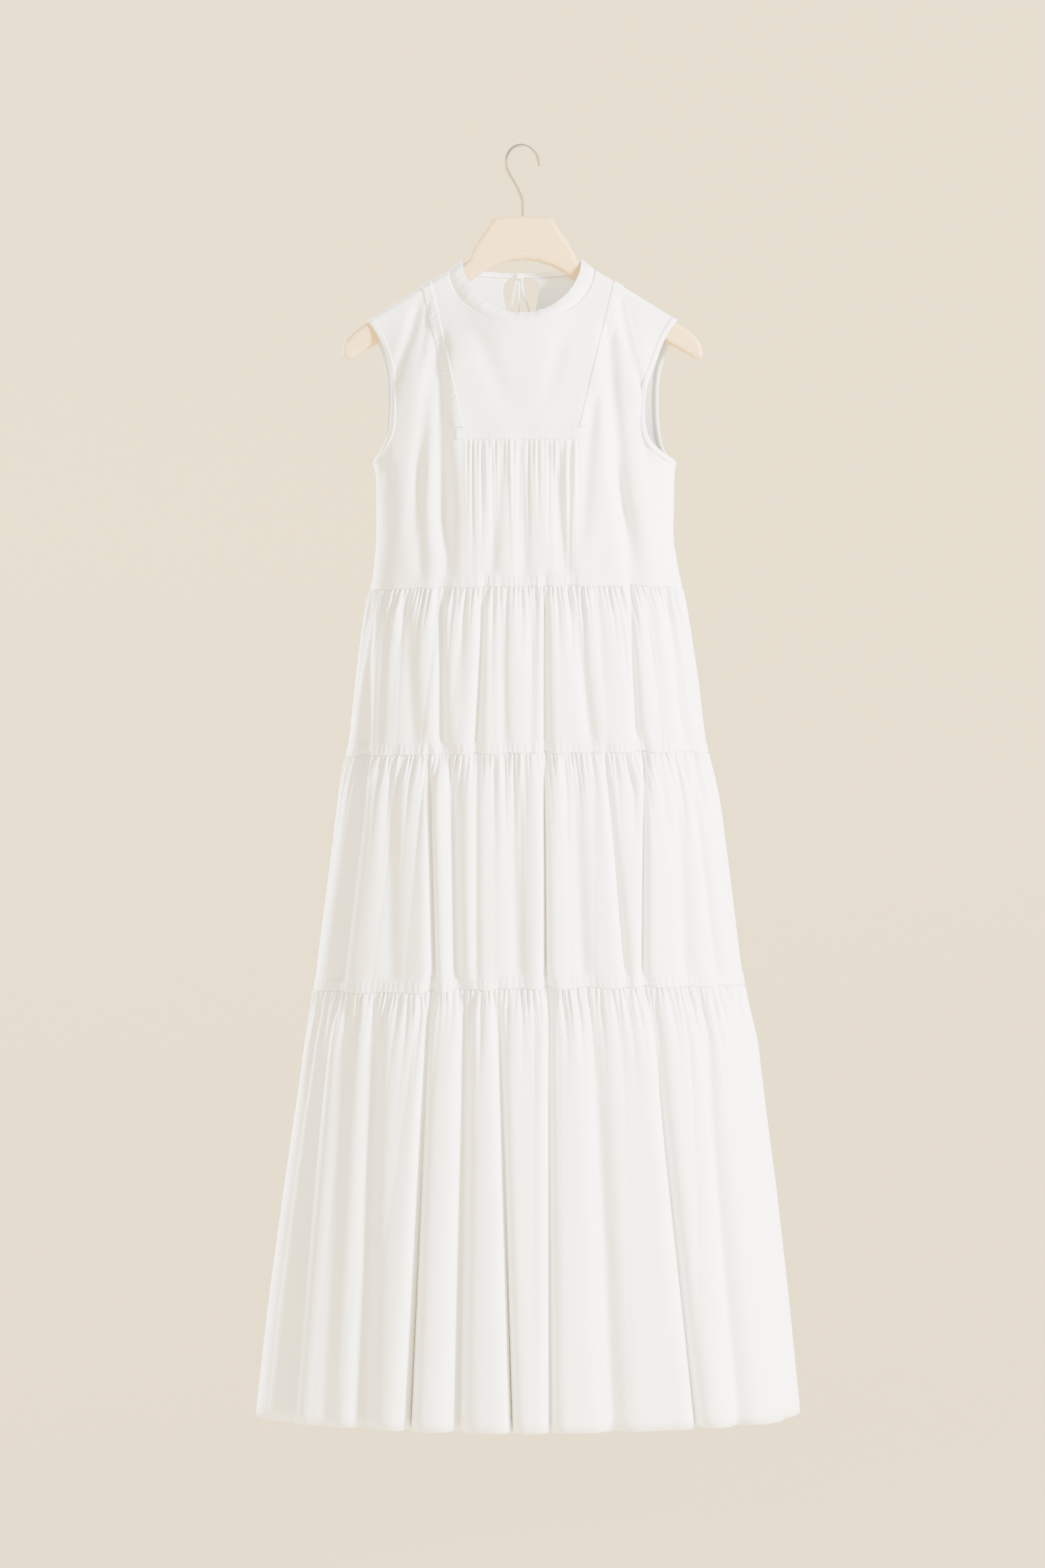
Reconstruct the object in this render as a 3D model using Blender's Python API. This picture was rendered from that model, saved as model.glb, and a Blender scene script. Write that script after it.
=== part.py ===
"""A sleeveless tiered maxi dress on a flat hanger, as construction solids.

Metres, +Z up. The origin is the inside top of the hanger's hook, where it hangs. The dress's
front faces -Y. Every cloth piece is a thin wall: a grid of points on its outer face, the same
grid moved in by the wall, and a rim that joins them.
"""
import bmesh
import bpy
import numpy as np

for old_object in list(bpy.data.objects):
    bpy.data.objects.remove(old_object, do_unlink=True)

# Cloth and seams
WALL = 0.0013
SEAM_GAP = 0.0003
HALF_GAP = SEAM_GAP / 2
FRONT, BACK = -1, 1

# The body under the cloth, as half sections by height: how far it reaches to the left, to the
# right, to the front and to the back.
SECTION_COLUMNS = ("height", "left", "right", "front", "back")
SECTIONS = np.array((
    (-0.120, -0.1900, 0.1900, 0.030, 0.022),
    (-0.200, -0.1840, 0.1840, 0.042, 0.030),
    (-0.280, -0.1750, 0.1770, 0.048, 0.036),
    (-0.3555, -0.1680, 0.1730, 0.052, 0.041),
    (-0.372, -0.1645, 0.1710, 0.053, 0.043),
    (-0.443, -0.1645, 0.1700, 0.056, 0.048),
    (-0.483, -0.1680, 0.1770, 0.058, 0.051),
    (-0.500, -0.1710, 0.1795, 0.060, 0.054),
    (-0.534, -0.1775, 0.1870, 0.070, 0.064),
    (-0.595, -0.1860, 0.1970, 0.074, 0.069),
    (-0.670, -0.1950, 0.2060, 0.076, 0.072),
    (-0.685, -0.1970, 0.2080, 0.077, 0.073),
    (-0.725, -0.2050, 0.2180, 0.087, 0.083),
    (-0.823, -0.2180, 0.2330, 0.093, 0.090),
    (-0.914, -0.2300, 0.2440, 0.096, 0.094),
    (-0.945, -0.2330, 0.2490, 0.098, 0.096),
    (-1.005, -0.2436, 0.2630, 0.109, 0.107),
    (-1.172, -0.2680, 0.2850, 0.117, 0.117),
    (-1.294, -0.2846, 0.2990, 0.122, 0.122),
    (-1.430, -0.3000, 0.3130, 0.127, 0.127),
))
FLATNESS = 0.75
FULL_SIDE = np.pi / 2
ARC_SAMPLES = 241

# The shoulder line, which lies along the hanger's arms, and how the cloth falls from it
SHOULDER_PEAK = -0.0830
SHOULDER_SLOPE = 0.634
SHOULDER_ROUND = 0.030
SHOULDER_WRAP = 0.0085
SHOULDER_REACH = 0.120

# Seam heights across the dress, from its left side to its right
SEAM_PLACES = (0.0, 0.18, 0.5, 0.82, 1.0)
WAIST_SEAM = (-0.5010, -0.5010, -0.4990, -0.4980, -0.4980)
MIDDLE_SEAM = (-0.6870, -0.6870, -0.6846, -0.6830, -0.6830)
LOW_SEAM = (-0.9490, -0.9500, -0.9440, -0.9430, -0.9430)
HEM = (-1.4240, -1.4250, -1.4270, -1.4250, -1.4240)

# Neck, bib and armholes
NECK_CENTRE = -0.001
NECK_HALF_WIDTH = 0.0815
FRONT_NECK_DROP = 0.0640
BACK_NECK_DROP = 0.0080
FRONT_NECK_TURNS = np.radians((0.0, 16.0, 32.0, 47.0, 61.0, 73.0, 81.0, 85.2, 88.4, 90.0))
BACK_NECK_TURNS = np.radians((27.0, 44.0, 60.0, 72.0, 82.0, 90.0))
BIB_JOINT_TOP = 0.108
BIB_JOINT_LEFT = -0.0685
BIB_JOINT_RIGHT = 0.0660
BIB_JOINT_HEIGHT = -0.3280
UNDERARM = -0.3555
LEFT_FRONT_ARMHOLE = ((-0.1740, -0.1950), (-0.1580, -0.2240), (-0.1480, -0.2600),
                      (-0.1468, -0.2990), (-0.1490, -0.3230), (-0.1535, -0.3340),
                      (-0.1600, -0.3455), (-0.1642, -0.3515), (-0.1672, -0.3546),
                      (-0.1680, UNDERARM))
RIGHT_FRONT_ARMHOLE = ((0.1740, -0.1950), (0.1600, -0.2170), (0.1500, -0.2420),
                       (0.1395, -0.2730), (0.1365, -0.2970), (0.1375, -0.3180),
                       (0.1430, -0.3340), (0.1550, -0.3455), (0.1650, -0.3515),
                       (0.1712, -0.3546), (0.1730, UNDERARM))
LEFT_BACK_ARMHOLE = ((-0.1740, -0.1950), (-0.1640, -0.2220), (-0.1550, -0.2500),
                     (-0.1530, -0.2850), (-0.1540, -0.3180), (-0.1565, -0.3350),
                     (-0.1605, -0.3455), (-0.1642, -0.3515), (-0.1672, -0.3546),
                     (-0.1680, UNDERARM))
RIGHT_BACK_ARMHOLE = ((0.1740, -0.1950), (0.1640, -0.2270), (0.1550, -0.2560),
                      (0.1535, -0.2960), (0.1555, -0.3200), (0.1585, -0.3350),
                      (0.1635, -0.3455), (0.1685, -0.3515), (0.1718, -0.3546),
                      (0.1730, UNDERARM))

# The keyhole: a teardrop slit below the back neckband, as half widths by height
KEYHOLE_CENTRE = -0.002
KEYHOLE = ((-0.1467, 0.0139), (-0.1520, 0.0185), (-0.1600, 0.0202), (-0.1720, 0.0188),
           (-0.1830, 0.0160), (-0.1930, 0.0110), (-0.2020, 0.0))

# Rows of points down the upper body, as fractions from shoulder to bib seam
UPPER_ROWS = np.array((0.0, 0.010, 0.032, 0.075, 0.165, 0.305, 0.50, 0.75, 1.0))
KEYHOLE_ROW = 5
FRONT_CHEST_ROWS = (-0.3353, -0.3410, -0.3480, -0.3535, UNDERARM)
BACK_CHEST_ROWS = (-0.3380, -0.3480, -0.3535, UNDERARM)
WAIST_ROWS = (0.25, 0.62, 1.0)

# Folds of each piece, largest first in depth. Places are those of a front view from the stated
# distance, at the piece's top and foot; depths and widths likewise.
VIEW_DISTANCE = 4.0
FOLD_COLUMNS = ("place top", "place foot", "depth top", "depth foot", "width top", "width foot")
BODICE_FOLDS = (
    (-0.117, -0.115, 0.0015, 0.0030, 0.009, 0.010),
    (-0.085, -0.086, 0.0020, 0.0055, 0.011, 0.014),
    (-0.024, -0.036, 0.0020, 0.0025, 0.006, 0.008),
    (0.001, 0.001, 0.0020, 0.0030, 0.006, 0.009),
    (0.032, 0.050, 0.0020, 0.0030, 0.006, 0.010),
    (0.098, 0.128, 0.0025, 0.0060, 0.010, 0.015),
)
SECOND_TIER_FOLDS = (
    (-0.171, -0.178, 0.0030, 0.0045, 0.008, 0.010),
    (-0.130, -0.123, 0.0020, 0.0035, 0.010, 0.013),
    (-0.092, -0.092, 0.0035, 0.0065, 0.010, 0.014),
    (-0.043, -0.053, 0.0040, 0.0060, 0.008, 0.011),
    (0.011, 0.011, 0.0020, 0.0030, 0.007, 0.010),
    (0.0255, 0.027, 0.0035, 0.0060, 0.008, 0.012),
    (0.057, 0.079, 0.0025, 0.0045, 0.008, 0.011),
    (0.1215, 0.132, 0.0040, 0.0055, 0.008, 0.012),
    (0.160, 0.1855, 0.0030, 0.0045, 0.008, 0.010),
)
THIRD_TIER_FOLDS = (
    (-0.178, -0.211, 0.0035, 0.0055, 0.009, 0.012),
    (-0.148, -0.150, 0.0020, 0.0040, 0.011, 0.015),
    (-0.106, -0.101, 0.0045, 0.0075, 0.009, 0.012),
    (-0.080, -0.075, 0.0030, 0.0060, 0.011, 0.014),
    (-0.053, -0.051, 0.0020, 0.0030, 0.008, 0.010),
    (-0.014, -0.006, 0.0025, 0.0045, 0.010, 0.014),
    (0.025, 0.0266, 0.0045, 0.0075, 0.008, 0.011),
    (0.057, 0.069, 0.0025, 0.0045, 0.010, 0.014),
    (0.0945, 0.118, 0.0030, 0.0050, 0.010, 0.012),
    (0.1386, 0.137, 0.0040, 0.0060, 0.009, 0.011),
    (0.176, 0.186, 0.0025, 0.0045, 0.010, 0.012),
    (0.190, 0.223, 0.0030, 0.0050, 0.009, 0.011),
)
BOTTOM_TIER_FOLDS = (
    (-0.221, -0.267, 0.0045, 0.0090, 0.010, 0.014),
    (-0.196, -0.225, 0.0025, 0.0060, 0.012, 0.016),
    (-0.166, -0.182, 0.0050, 0.0125, 0.014, 0.020),
    (-0.106, -0.129, 0.0060, 0.0190, 0.010, 0.014),
    (-0.064, -0.074, 0.0060, 0.0170, 0.013, 0.017),
    (-0.027, -0.012, 0.0040, 0.0160, 0.010, 0.013),
    (0.030, 0.032, 0.0050, 0.0130, 0.010, 0.013),
    (0.079, 0.103, 0.0045, 0.0120, 0.014, 0.019),
    (0.144, 0.199, 0.0045, 0.0150, 0.011, 0.016),
    (0.200, 0.247, 0.0020, 0.0080, 0.010, 0.015),
    (0.239, 0.303, 0.0035, 0.0070, 0.009, 0.012),
)
RIDGE_SHARE = 0.36
RIDGE_SPREAD = 2.3
BACK_FOLD_SHIFT = 0.014
FOLD_FADE = 0.05

# Gathers: one crest each two columns, their height by the distance below the seam
GATHER_DROP = (0.0, 0.006, 0.020, 0.045, 0.095)
GATHER_HEIGHT = (0.0014, 0.0026, 0.0022, 0.0010, 0.0)
BIB_GATHERS = 12
TIERS = {
    "second_tier": dict(top=WAIST_SEAM, foot=MIDDLE_SEAM, gathers=22, folds=SECOND_TIER_FOLDS,
                        rows=(0.0, 0.03, 0.10, 0.24, 0.46, 0.73, 1.0)),
    "third_tier": dict(top=MIDDLE_SEAM, foot=LOW_SEAM, gathers=24, folds=THIRD_TIER_FOLDS,
                       rows=(0.0, 0.022, 0.075, 0.17, 0.36, 0.57, 0.78, 1.0)),
    "bottom_tier": dict(top=LOW_SEAM, foot=HEM, gathers=27, folds=BOTTOM_TIER_FOLDS,
                        rows=(0.0, 0.012, 0.040, 0.095, 0.22, 0.40, 0.60, 0.80, 1.0)),
}

# Trims
BINDING_WIDTH = 0.006
BINDING_GAP = 0.0005
TRIM_WALL = 0.0010
BAND_HALF_WIDTH = 0.0055
SIDE_BAND_GAP = 0.0013
BIB_BAND_TOP = -0.3206
BIB_BAND_FOOT = -0.3350
NECKBAND_TOP_HALF_WIDTH = 0.0680
NECKBAND_TOP_RISE = 0.0028
FRONT_BAND_TOP_DROP = 0.0635
FRONT_BAND_TOP_DEPTH = 0.030
BACK_BAND_TOP_DROP = 0.0145
BACK_BAND_TOP_DEPTH = 0.015
BAND_LEAN_POWER = 1.2

# The knot and the ties that hang from it
TIE_DIAMETER = 0.0028
KNOT_PLACE = (-0.0045, 0.0150, -0.1450)
KNOT_SIZE = (0.0055, 0.0045, 0.0050)
TIE_START = 0.0054
TIE_CLEARANCE = 0.0035
LEFT_TIE = ((-0.0077, -0.0004), (-0.0100, 0.012), (-0.0142, 0.034), (-0.0170, 0.060),
            (-0.0185, 0.090), (-0.0190, 0.125), (-0.0180, 0.160), (-0.0165, 0.190))
RIGHT_TIE = ((-0.0013, -0.0004), (0.0010, 0.012), (0.0075, 0.030), (0.0135, 0.052),
             (0.0165, 0.080), (0.0172, 0.112), (0.0162, 0.145), (0.0150, 0.175))
LOOP_PLACE = -0.0045
LOOP_DROP = 0.072
LOOP_HALF_GAP = 0.0060
LOOP_POINTS = 22

# The hanger: a flat board whose outline is mirrored about its middle
HANGER_THICKNESS = 0.013
HANGER_EDGE_ROUND = 0.0055
HANGER_UPPER = ((0.0, -0.0785), (0.020, -0.0790), (0.0310, -0.0805), (0.0352, -0.0835),
                (0.0385, -0.0890), (0.0440, -0.0975), (0.0520, -0.1085), (0.0582, -0.1200),
                (0.0618, -0.1286), (0.0690, -0.1346), (0.0800, -0.1402), (0.1100, -0.1578),
                (0.1400, -0.1762), (0.1700, -0.1951), (0.1900, -0.2090), (0.1990, -0.2185),
                (0.2030, -0.2275))
HANGER_LOWER = ((0.2030, -0.2360), (0.2000, -0.2400), (0.1930, -0.2385), (0.1610, -0.2200),
                (0.1300, -0.1995), (0.0900, -0.1722), (0.0670, -0.1567), (0.0550, -0.1487),
                (0.0450, -0.1415), (0.0320, -0.1345), (0.0160, -0.1290), (0.0, -0.1272))
HOOK_WIRE = 0.0035
HOOK_LOOP_RADIUS = 0.0210
HOOK_TURN = np.radians(28.0)
HOOK_SHAFT = ((0.0, -0.0781), (0.0, -0.0680), (-0.0004, -0.0600), (-0.0045, -0.0510),
              (-0.0110, -0.0410), (-0.0165, -0.0330))
HOOK_LOOP_START = np.radians(205.0)
HOOK_LOOP_END = np.radians(-2.0)
HOOK_LOOP_POINTS = 24

# Colour, roughness and metallic of each finish
FINISHES = {
    "white_cotton": ((0.90, 0.90, 0.88, 1.0), 0.85, 0.0),
    "moulded_beige": ((0.75, 0.60, 0.43, 1.0), 0.55, 0.0),
    "steel_wire": ((0.74, 0.72, 0.68, 1.0), 0.25, 1.0),
}


def finish(name):
    """The Principled material of one finish."""
    material = bpy.data.materials.get(name)
    if material is None:
        colour, roughness, metallic = FINISHES[name]
        material = bpy.data.materials.new(name)
        material.use_nodes = True
        shader = material.node_tree.nodes["Principled BSDF"]
        shader.inputs["Base Color"].default_value = colour
        shader.inputs["Roughness"].default_value = roughness
        shader.inputs["Metallic"].default_value = metallic
    return material


# The form of the body

def ease(value):
    """A smooth step from 0 to 1."""
    value = np.clip(value, 0.0, 1.0)
    return value * value * (3 - 2 * value)


def section(height, column):
    """One column of the section table at a height."""
    place = SECTION_COLUMNS.index(column)
    return np.interp(-np.asarray(height), -SECTIONS[:, 0], SECTIONS[:, place])


def middle_and_half(height):
    """The middle and the half width of the section at a height."""
    left, right = section(height, "left"), section(height, "right")
    return (left + right) / 2, (right - left) / 2


def shoulder_height(x):
    """The height of the shoulder line at x."""
    return SHOULDER_PEAK - SHOULDER_SLOPE * np.sqrt(np.square(x) + SHOULDER_ROUND ** 2)


def shoulder_wrap(drop):
    """How far the cloth stands off the hanger's middle, by its drop from the shoulder line."""
    share = np.clip(drop / SHOULDER_WRAP, 0.0, 1.0)
    return SHOULDER_WRAP * np.sqrt(1 - np.square(1 - share))


def body(angle, height, side):
    """Points of the body at an angle round the section, from -90 at the left to 90 at the right."""
    middle, half = middle_and_half(height)
    x = middle + half * np.sin(angle)
    reach = section(height, "front" if side == FRONT else "back")
    hung = reach * np.power(np.clip(np.cos(angle), 0.0, 1.0), FLATNESS)
    drop = shoulder_height(x) - height
    share = ease(drop / SHOULDER_REACH)
    depth = (1 - share) * shoulder_wrap(drop) + share * hung
    return np.stack(np.broadcast_arrays(x, side * np.maximum(depth, HALF_GAP), height), axis=-1)


def body_at(x, height, side):
    """Points of the body where the front view shows them at x."""
    return body(angle_of(x, height), height, side)


def angle_of(x, height):
    """The angle round the section at x."""
    middle, half = middle_and_half(height)
    return np.arcsin(np.clip((x - middle) / half, -1.0, 1.0))


def row_angles(height, side, shares, first=-FULL_SIDE, last=FULL_SIDE):
    """Angles that stand at the given shares of a row's length."""
    fine = np.linspace(first, last, ARC_SAMPLES)
    points = body(fine, np.full(ARC_SAMPLES, height), side)
    steps = np.linalg.norm(np.diff(points[:, :2], axis=0), axis=1)
    length = np.concatenate(([0.0], np.cumsum(steps)))
    return np.interp(np.asarray(shares) * length[-1], length, fine)


def row_shares(angles, height, side):
    """The shares of a row's length at which its angles stand."""
    fine = np.linspace(angles[0], angles[-1], ARC_SAMPLES)
    points = body(fine, np.full(ARC_SAMPLES, height), side)
    steps = np.linalg.norm(np.diff(points[:, :2], axis=0), axis=1)
    length = np.concatenate(([0.0], np.cumsum(steps)))
    return np.interp(angles, fine, length / length[-1])


def seam_height(seam, share):
    """A seam's height at a share of the way from its left side to its right."""
    places = np.asarray(SEAM_PLACES)
    index = np.clip(np.searchsorted(places, share, side="right") - 1, 0, len(places) - 2)
    start, end = places[index], places[index + 1]
    low, high = np.asarray(seam)[index], np.asarray(seam)[index + 1]
    return low + (high - low) * ease((share - start) / (end - start))


# Folds and gathers

def fold_depth(points, share, folds, side):
    """How far the folds push the cloth out (+) or in (-) at points a share down the piece."""
    x = points[..., 0]
    nearness = 1 - np.abs(points[..., 1]) / VIEW_DISTANCE
    total = np.zeros_like(x)
    for top, foot, top_depth, foot_depth, top_width, foot_width in folds:
        place = (top + (foot - top) * share) * nearness
        if side == BACK:
            place = BACK_FOLD_SHIFT - place
        depth = top_depth + (foot_depth - top_depth) * share
        width = top_width + (foot_width - top_width) * share
        away = np.square((x - place) / width)
        valley = (1 + RIDGE_SHARE) * np.exp(-away)
        ridge = RIDGE_SHARE * np.exp(-away / RIDGE_SPREAD ** 2)
        total += depth * (ridge - valley)
    return total


def gather_wave(columns, drop):
    """Crests on even columns and troughs on odd ones, by the distance below the seam."""
    wave = np.where(np.arange(columns) % 2 == 0, 1.0, -1.0)
    return wave * np.interp(drop, GATHER_DROP, GATHER_HEIGHT)


def row_normals(row):
    """Normals of one row in its own level plane, with the row mirrored past the side seams."""
    before = row[0] * (1, -1, 1) if abs(row[0, 1]) < 0.001 else 2 * row[0] - row[1]
    after = row[-1] * (1, -1, 1) if abs(row[-1, 1]) < 0.001 else 2 * row[-1] - row[-2]
    line = np.vstack((before, row, after))
    tangent = line[2:] - line[:-2]
    normal = np.stack((tangent[:, 1], -tangent[:, 0], np.zeros(len(row))), axis=-1)
    normal /= np.maximum(np.linalg.norm(normal, axis=1, keepdims=True), 1e-9)
    outward = np.sign(np.sum(normal[:, 1] * row[:, 1]) or 1.0)
    return normal * outward


# Walls

def grid_faces(index, side, keep=None):
    """Faces of a grid of point numbers, facing the side that they are on."""
    faces = []
    for row in range(index.shape[0] - 1):
        for column in range(index.shape[1] - 1):
            if keep is not None and not keep[row, column]:
                continue
            corners = (index[row, column], index[row + 1, column],
                       index[row + 1, column + 1], index[row, column + 1])
            faces.append(corners if side == FRONT else corners[::-1])
    return faces


def face_normals_at_points(points, faces):
    """The normal at each point, from the faces round it."""
    normals = np.zeros_like(points)
    for corners in faces:
        first, second, third, fourth = points[list(corners)]
        across = np.cross(third - first, fourth - second)
        for corner in corners:
            normals[corner] += across
    lengths = np.linalg.norm(normals, axis=1, keepdims=True)
    return normals / np.maximum(lengths, 1e-12)


def solid_wall(name, outer, inner, faces, material):
    """One closed body from an outer face, an inner face and the rim between them."""
    count = len(outer)
    edges = {}
    for corners in faces:
        for start, end in zip(corners, corners[1:] + corners[:1]):
            edges[(start, end)] = True
    rims = [(end, start, start + count, end + count)
            for start, end in edges if (end, start) not in edges]
    inside = [tuple(corner + count for corner in corners[::-1]) for corners in faces]
    mesh = bpy.data.meshes.new(name)
    mesh.from_pydata(np.vstack((outer, inner)).tolist(), [], faces + inside + rims)
    shape = bmesh.new()
    shape.from_mesh(mesh)
    bmesh.ops.delete(shape, geom=[v for v in shape.verts if not v.link_faces], context="VERTS")
    bmesh.ops.recalc_face_normals(shape, faces=shape.faces[:])
    shape.to_mesh(mesh)
    shape.free()
    mesh.shade_smooth()
    mesh.set_sharp_from_angle(angle=np.radians(50.0))
    mesh.materials.append(finish(material))
    piece = bpy.data.objects.new(name, mesh)
    bpy.context.scene.collection.objects.link(piece)
    return piece


def keep_to_side(points, side):
    """Keeps a half of the dress on its own side of the side seams."""
    points[:, 1] = side * np.maximum(side * points[:, 1], HALF_GAP)
    return points


def panel(name, outer, faces, side, level=False):
    """A cloth panel whose wall goes inward from its outer face."""
    normals = face_normals_at_points(outer, faces)
    if level:
        normals[:, 2] = 0.0
        normals /= np.maximum(np.linalg.norm(normals, axis=1, keepdims=True), 1e-12)
    inner = keep_to_side(outer - WALL * normals, side)
    solid_wall(name, outer, inner, faces, "white_cotton")
    return normals


def trim(name, base, faces, gap=SEAM_GAP, wall=TRIM_WALL):
    """A strip that lies on a panel, made from the panel's points, moved out."""
    normals = face_normals_at_points(base, faces)
    return solid_wall(name, base + normals * (gap + wall), base + normals * gap, faces,
                      "white_cotton")


def coons(top, foot, left, right, across, down):
    """A patch of front-view places between four edges."""
    u, v = np.meshgrid(across, down)
    u, v = u[..., None], v[..., None]
    edges = (1 - v) * top[None] + v * foot[None] + (1 - u) * left[:, None] + u * right[:, None]
    corners = ((1 - u) * (1 - v) * top[0] + u * (1 - v) * top[-1]
               + (1 - u) * v * foot[0] + u * v * foot[-1])
    return edges - corners


def along(points, shares):
    """Places at shares of the way along a line of points, by its length."""
    points = np.asarray(points, dtype=float)
    steps = np.linalg.norm(np.diff(points, axis=0), axis=1)
    length = np.concatenate(([0.0], np.cumsum(steps)))
    wanted = np.asarray(shares) * length[-1]
    return np.stack([np.interp(wanted, length, points[:, axis]) for axis in (0, 1)], axis=-1)


def edge_at(points, heights):
    """Places on an edge at the given heights."""
    points = np.asarray(points)
    x = np.interp(-np.asarray(heights), -points[:, 1], points[:, 0])
    return np.stack((x, heights), axis=-1)


def shoulder_line(start, end, count):
    """Places along the shoulder line between two values of x."""
    x = np.linspace(start, end, count)
    return np.stack((x, shoulder_height(x)), axis=-1)


def neck_curve(side, turn):
    """Places along the neck's seam, by their turn about its middle."""
    drop = FRONT_NECK_DROP if side == FRONT else BACK_NECK_DROP
    return ring_places(turn, NECK_HALF_WIDTH, drop)


def ring_places(turn, half_width, drop):
    """Places on a ring from shoulder to shoulder, lowest at its middle by the drop."""
    left = shoulder_height(NECK_CENTRE - half_width)
    right = shoulder_height(NECK_CENTRE + half_width)
    level = (left + right) / 2 + (right - left) / 2 * np.sin(turn)
    x = NECK_CENTRE + half_width * np.sin(turn)
    return np.stack((x, level - drop * np.cos(turn)), axis=-1)


def front_neck_turns():
    """Turns of the front neck's points, from its left end to its right."""
    return np.concatenate((-FRONT_NECK_TURNS[:0:-1], FRONT_NECK_TURNS))


def keyhole_turn(sign):
    """The turn, as a positive angle, at which the neck's seam meets the keyhole's edge."""
    edge = KEYHOLE_CENTRE + sign * KEYHOLE[0][1]
    return sign * np.arcsin((edge - NECK_CENTRE) / NECK_HALF_WIDTH)


def bib_joint(side_sign, rows, foot=BIB_JOINT_HEIGHT):
    """Places down the seam between the bib and the front body, at one side."""
    low = BIB_JOINT_LEFT if side_sign < 0 else BIB_JOINT_RIGHT
    high = side_sign * BIB_JOINT_TOP
    top_height = shoulder_height(high)
    heights = top_height + (foot - top_height) * rows
    x = high + (low - high) * (heights - top_height) / (BIB_JOINT_HEIGHT - top_height)
    return np.stack((x, heights), axis=-1)


def upper_heights():
    """Heights of the upper rows at the armhole edges."""
    tip = LEFT_FRONT_ARMHOLE[0][1]
    return tip + (BIB_JOINT_HEIGHT - tip) * UPPER_ROWS


def lower_rows(first_places, left_armhole, right_armhole, side, chest_rows, centre_gathers=None):
    """Rows below the bib seam: the chest, then the waist down to its seam."""
    heights = np.full(len(first_places), BIB_JOINT_HEIGHT)
    shares = row_shares(angle_of(first_places[:, 0], heights), BIB_JOINT_HEIGHT, side)
    rows = []
    levels = [np.full(len(shares), height) for height in chest_rows]
    waist = seam_height(WAIST_SEAM, shares) + HALF_GAP
    levels += [UNDERARM + (waist - UNDERARM) * share for share in WAIST_ROWS]
    for level in levels:
        mean = float(np.mean(level))
        first, last = -FULL_SIDE, FULL_SIDE
        if mean > UNDERARM:
            first = angle_of(edge_at(left_armhole, [mean])[0, 0], mean)
            last = angle_of(edge_at(right_armhole, [mean])[0, 0], mean)
        row = body(row_angles(mean, side, shares, first, last), level, side)
        share = (BIB_JOINT_HEIGHT - level) / (BIB_JOINT_HEIGHT - waist)
        push = fold_depth(row, share, BODICE_FOLDS, side) * ease(share / 0.3)
        if centre_gathers is not None:
            start, end = centre_gathers
            drop = FRONT_CHEST_ROWS[0] - mean
            wave = gather_wave(end - start + 1, drop) * np.clip(drop / 0.002, 0.0, 1.0)
            push[start:end + 1] += wave
        fade = ease(np.minimum(shares, 1 - shares) / FOLD_FADE)
        rows.append(row + row_normals(row) * (push * fade)[:, None])
    return np.array(rows)


# The bodice

STRAP_COLUMNS = 6
SHOULDER_PART = 3
BACK_SHOULDER_PART = 6


def strap_places(sign):
    """Front-view places of the front body at one side of the bib, from its left edge."""
    across = np.linspace(0.0, 1.0, STRAP_COLUMNS + 1)
    joint = bib_joint(sign, UPPER_ROWS) + (sign * HALF_GAP, 0.0)
    if sign < 0:
        left, right = edge_at(LEFT_FRONT_ARMHOLE, upper_heights()), joint
    else:
        left, right = joint, edge_at(RIGHT_FRONT_ARMHOLE, upper_heights())
    top = shoulder_line(left[0, 0], right[0, 0], STRAP_COLUMNS + 1)
    left[0], right[0] = top[0], top[-1]
    foot = along((left[-1], right[-1]), across)
    return coons(top, foot, left, right, across, UPPER_ROWS)


def front_bodice():
    """The front body: two sides up to the shoulders, joined under the bib."""
    left, right = strap_places(-1), strap_places(1)
    centre_columns = 2 * BIB_GATHERS
    gap = centre_columns - 1
    centre_x = np.linspace(left[-1, -1, 0], right[-1, 0, 0], centre_columns + 1)[1:-1]
    centre = np.zeros((len(UPPER_ROWS), gap, 2))
    centre[:, :, 0] = centre_x
    centre[:, :, 1] = BIB_JOINT_HEIGHT - HALF_GAP
    places = np.concatenate((left, centre, right), axis=1)
    places[-1, STRAP_COLUMNS:STRAP_COLUMNS + centre_columns + 1, 1] = BIB_JOINT_HEIGHT - HALF_GAP
    upper = body_at(places[..., 0], places[..., 1], FRONT)
    start = STRAP_COLUMNS
    end = STRAP_COLUMNS + centre_columns
    lower = lower_rows(places[-1], LEFT_FRONT_ARMHOLE, RIGHT_FRONT_ARMHOLE, FRONT,
                       FRONT_CHEST_ROWS, (start, end))
    grid = np.concatenate((upper, lower), axis=0)
    index = np.arange(grid.shape[0] * grid.shape[1]).reshape(grid.shape[:2])
    keep = np.ones((grid.shape[0] - 1, grid.shape[1] - 1), dtype=bool)
    keep[:len(UPPER_ROWS) - 1, start:end] = False
    panel("front_bodice", grid.reshape(-1, 3), grid_faces(index, FRONT, keep), FRONT)
    return grid


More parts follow.
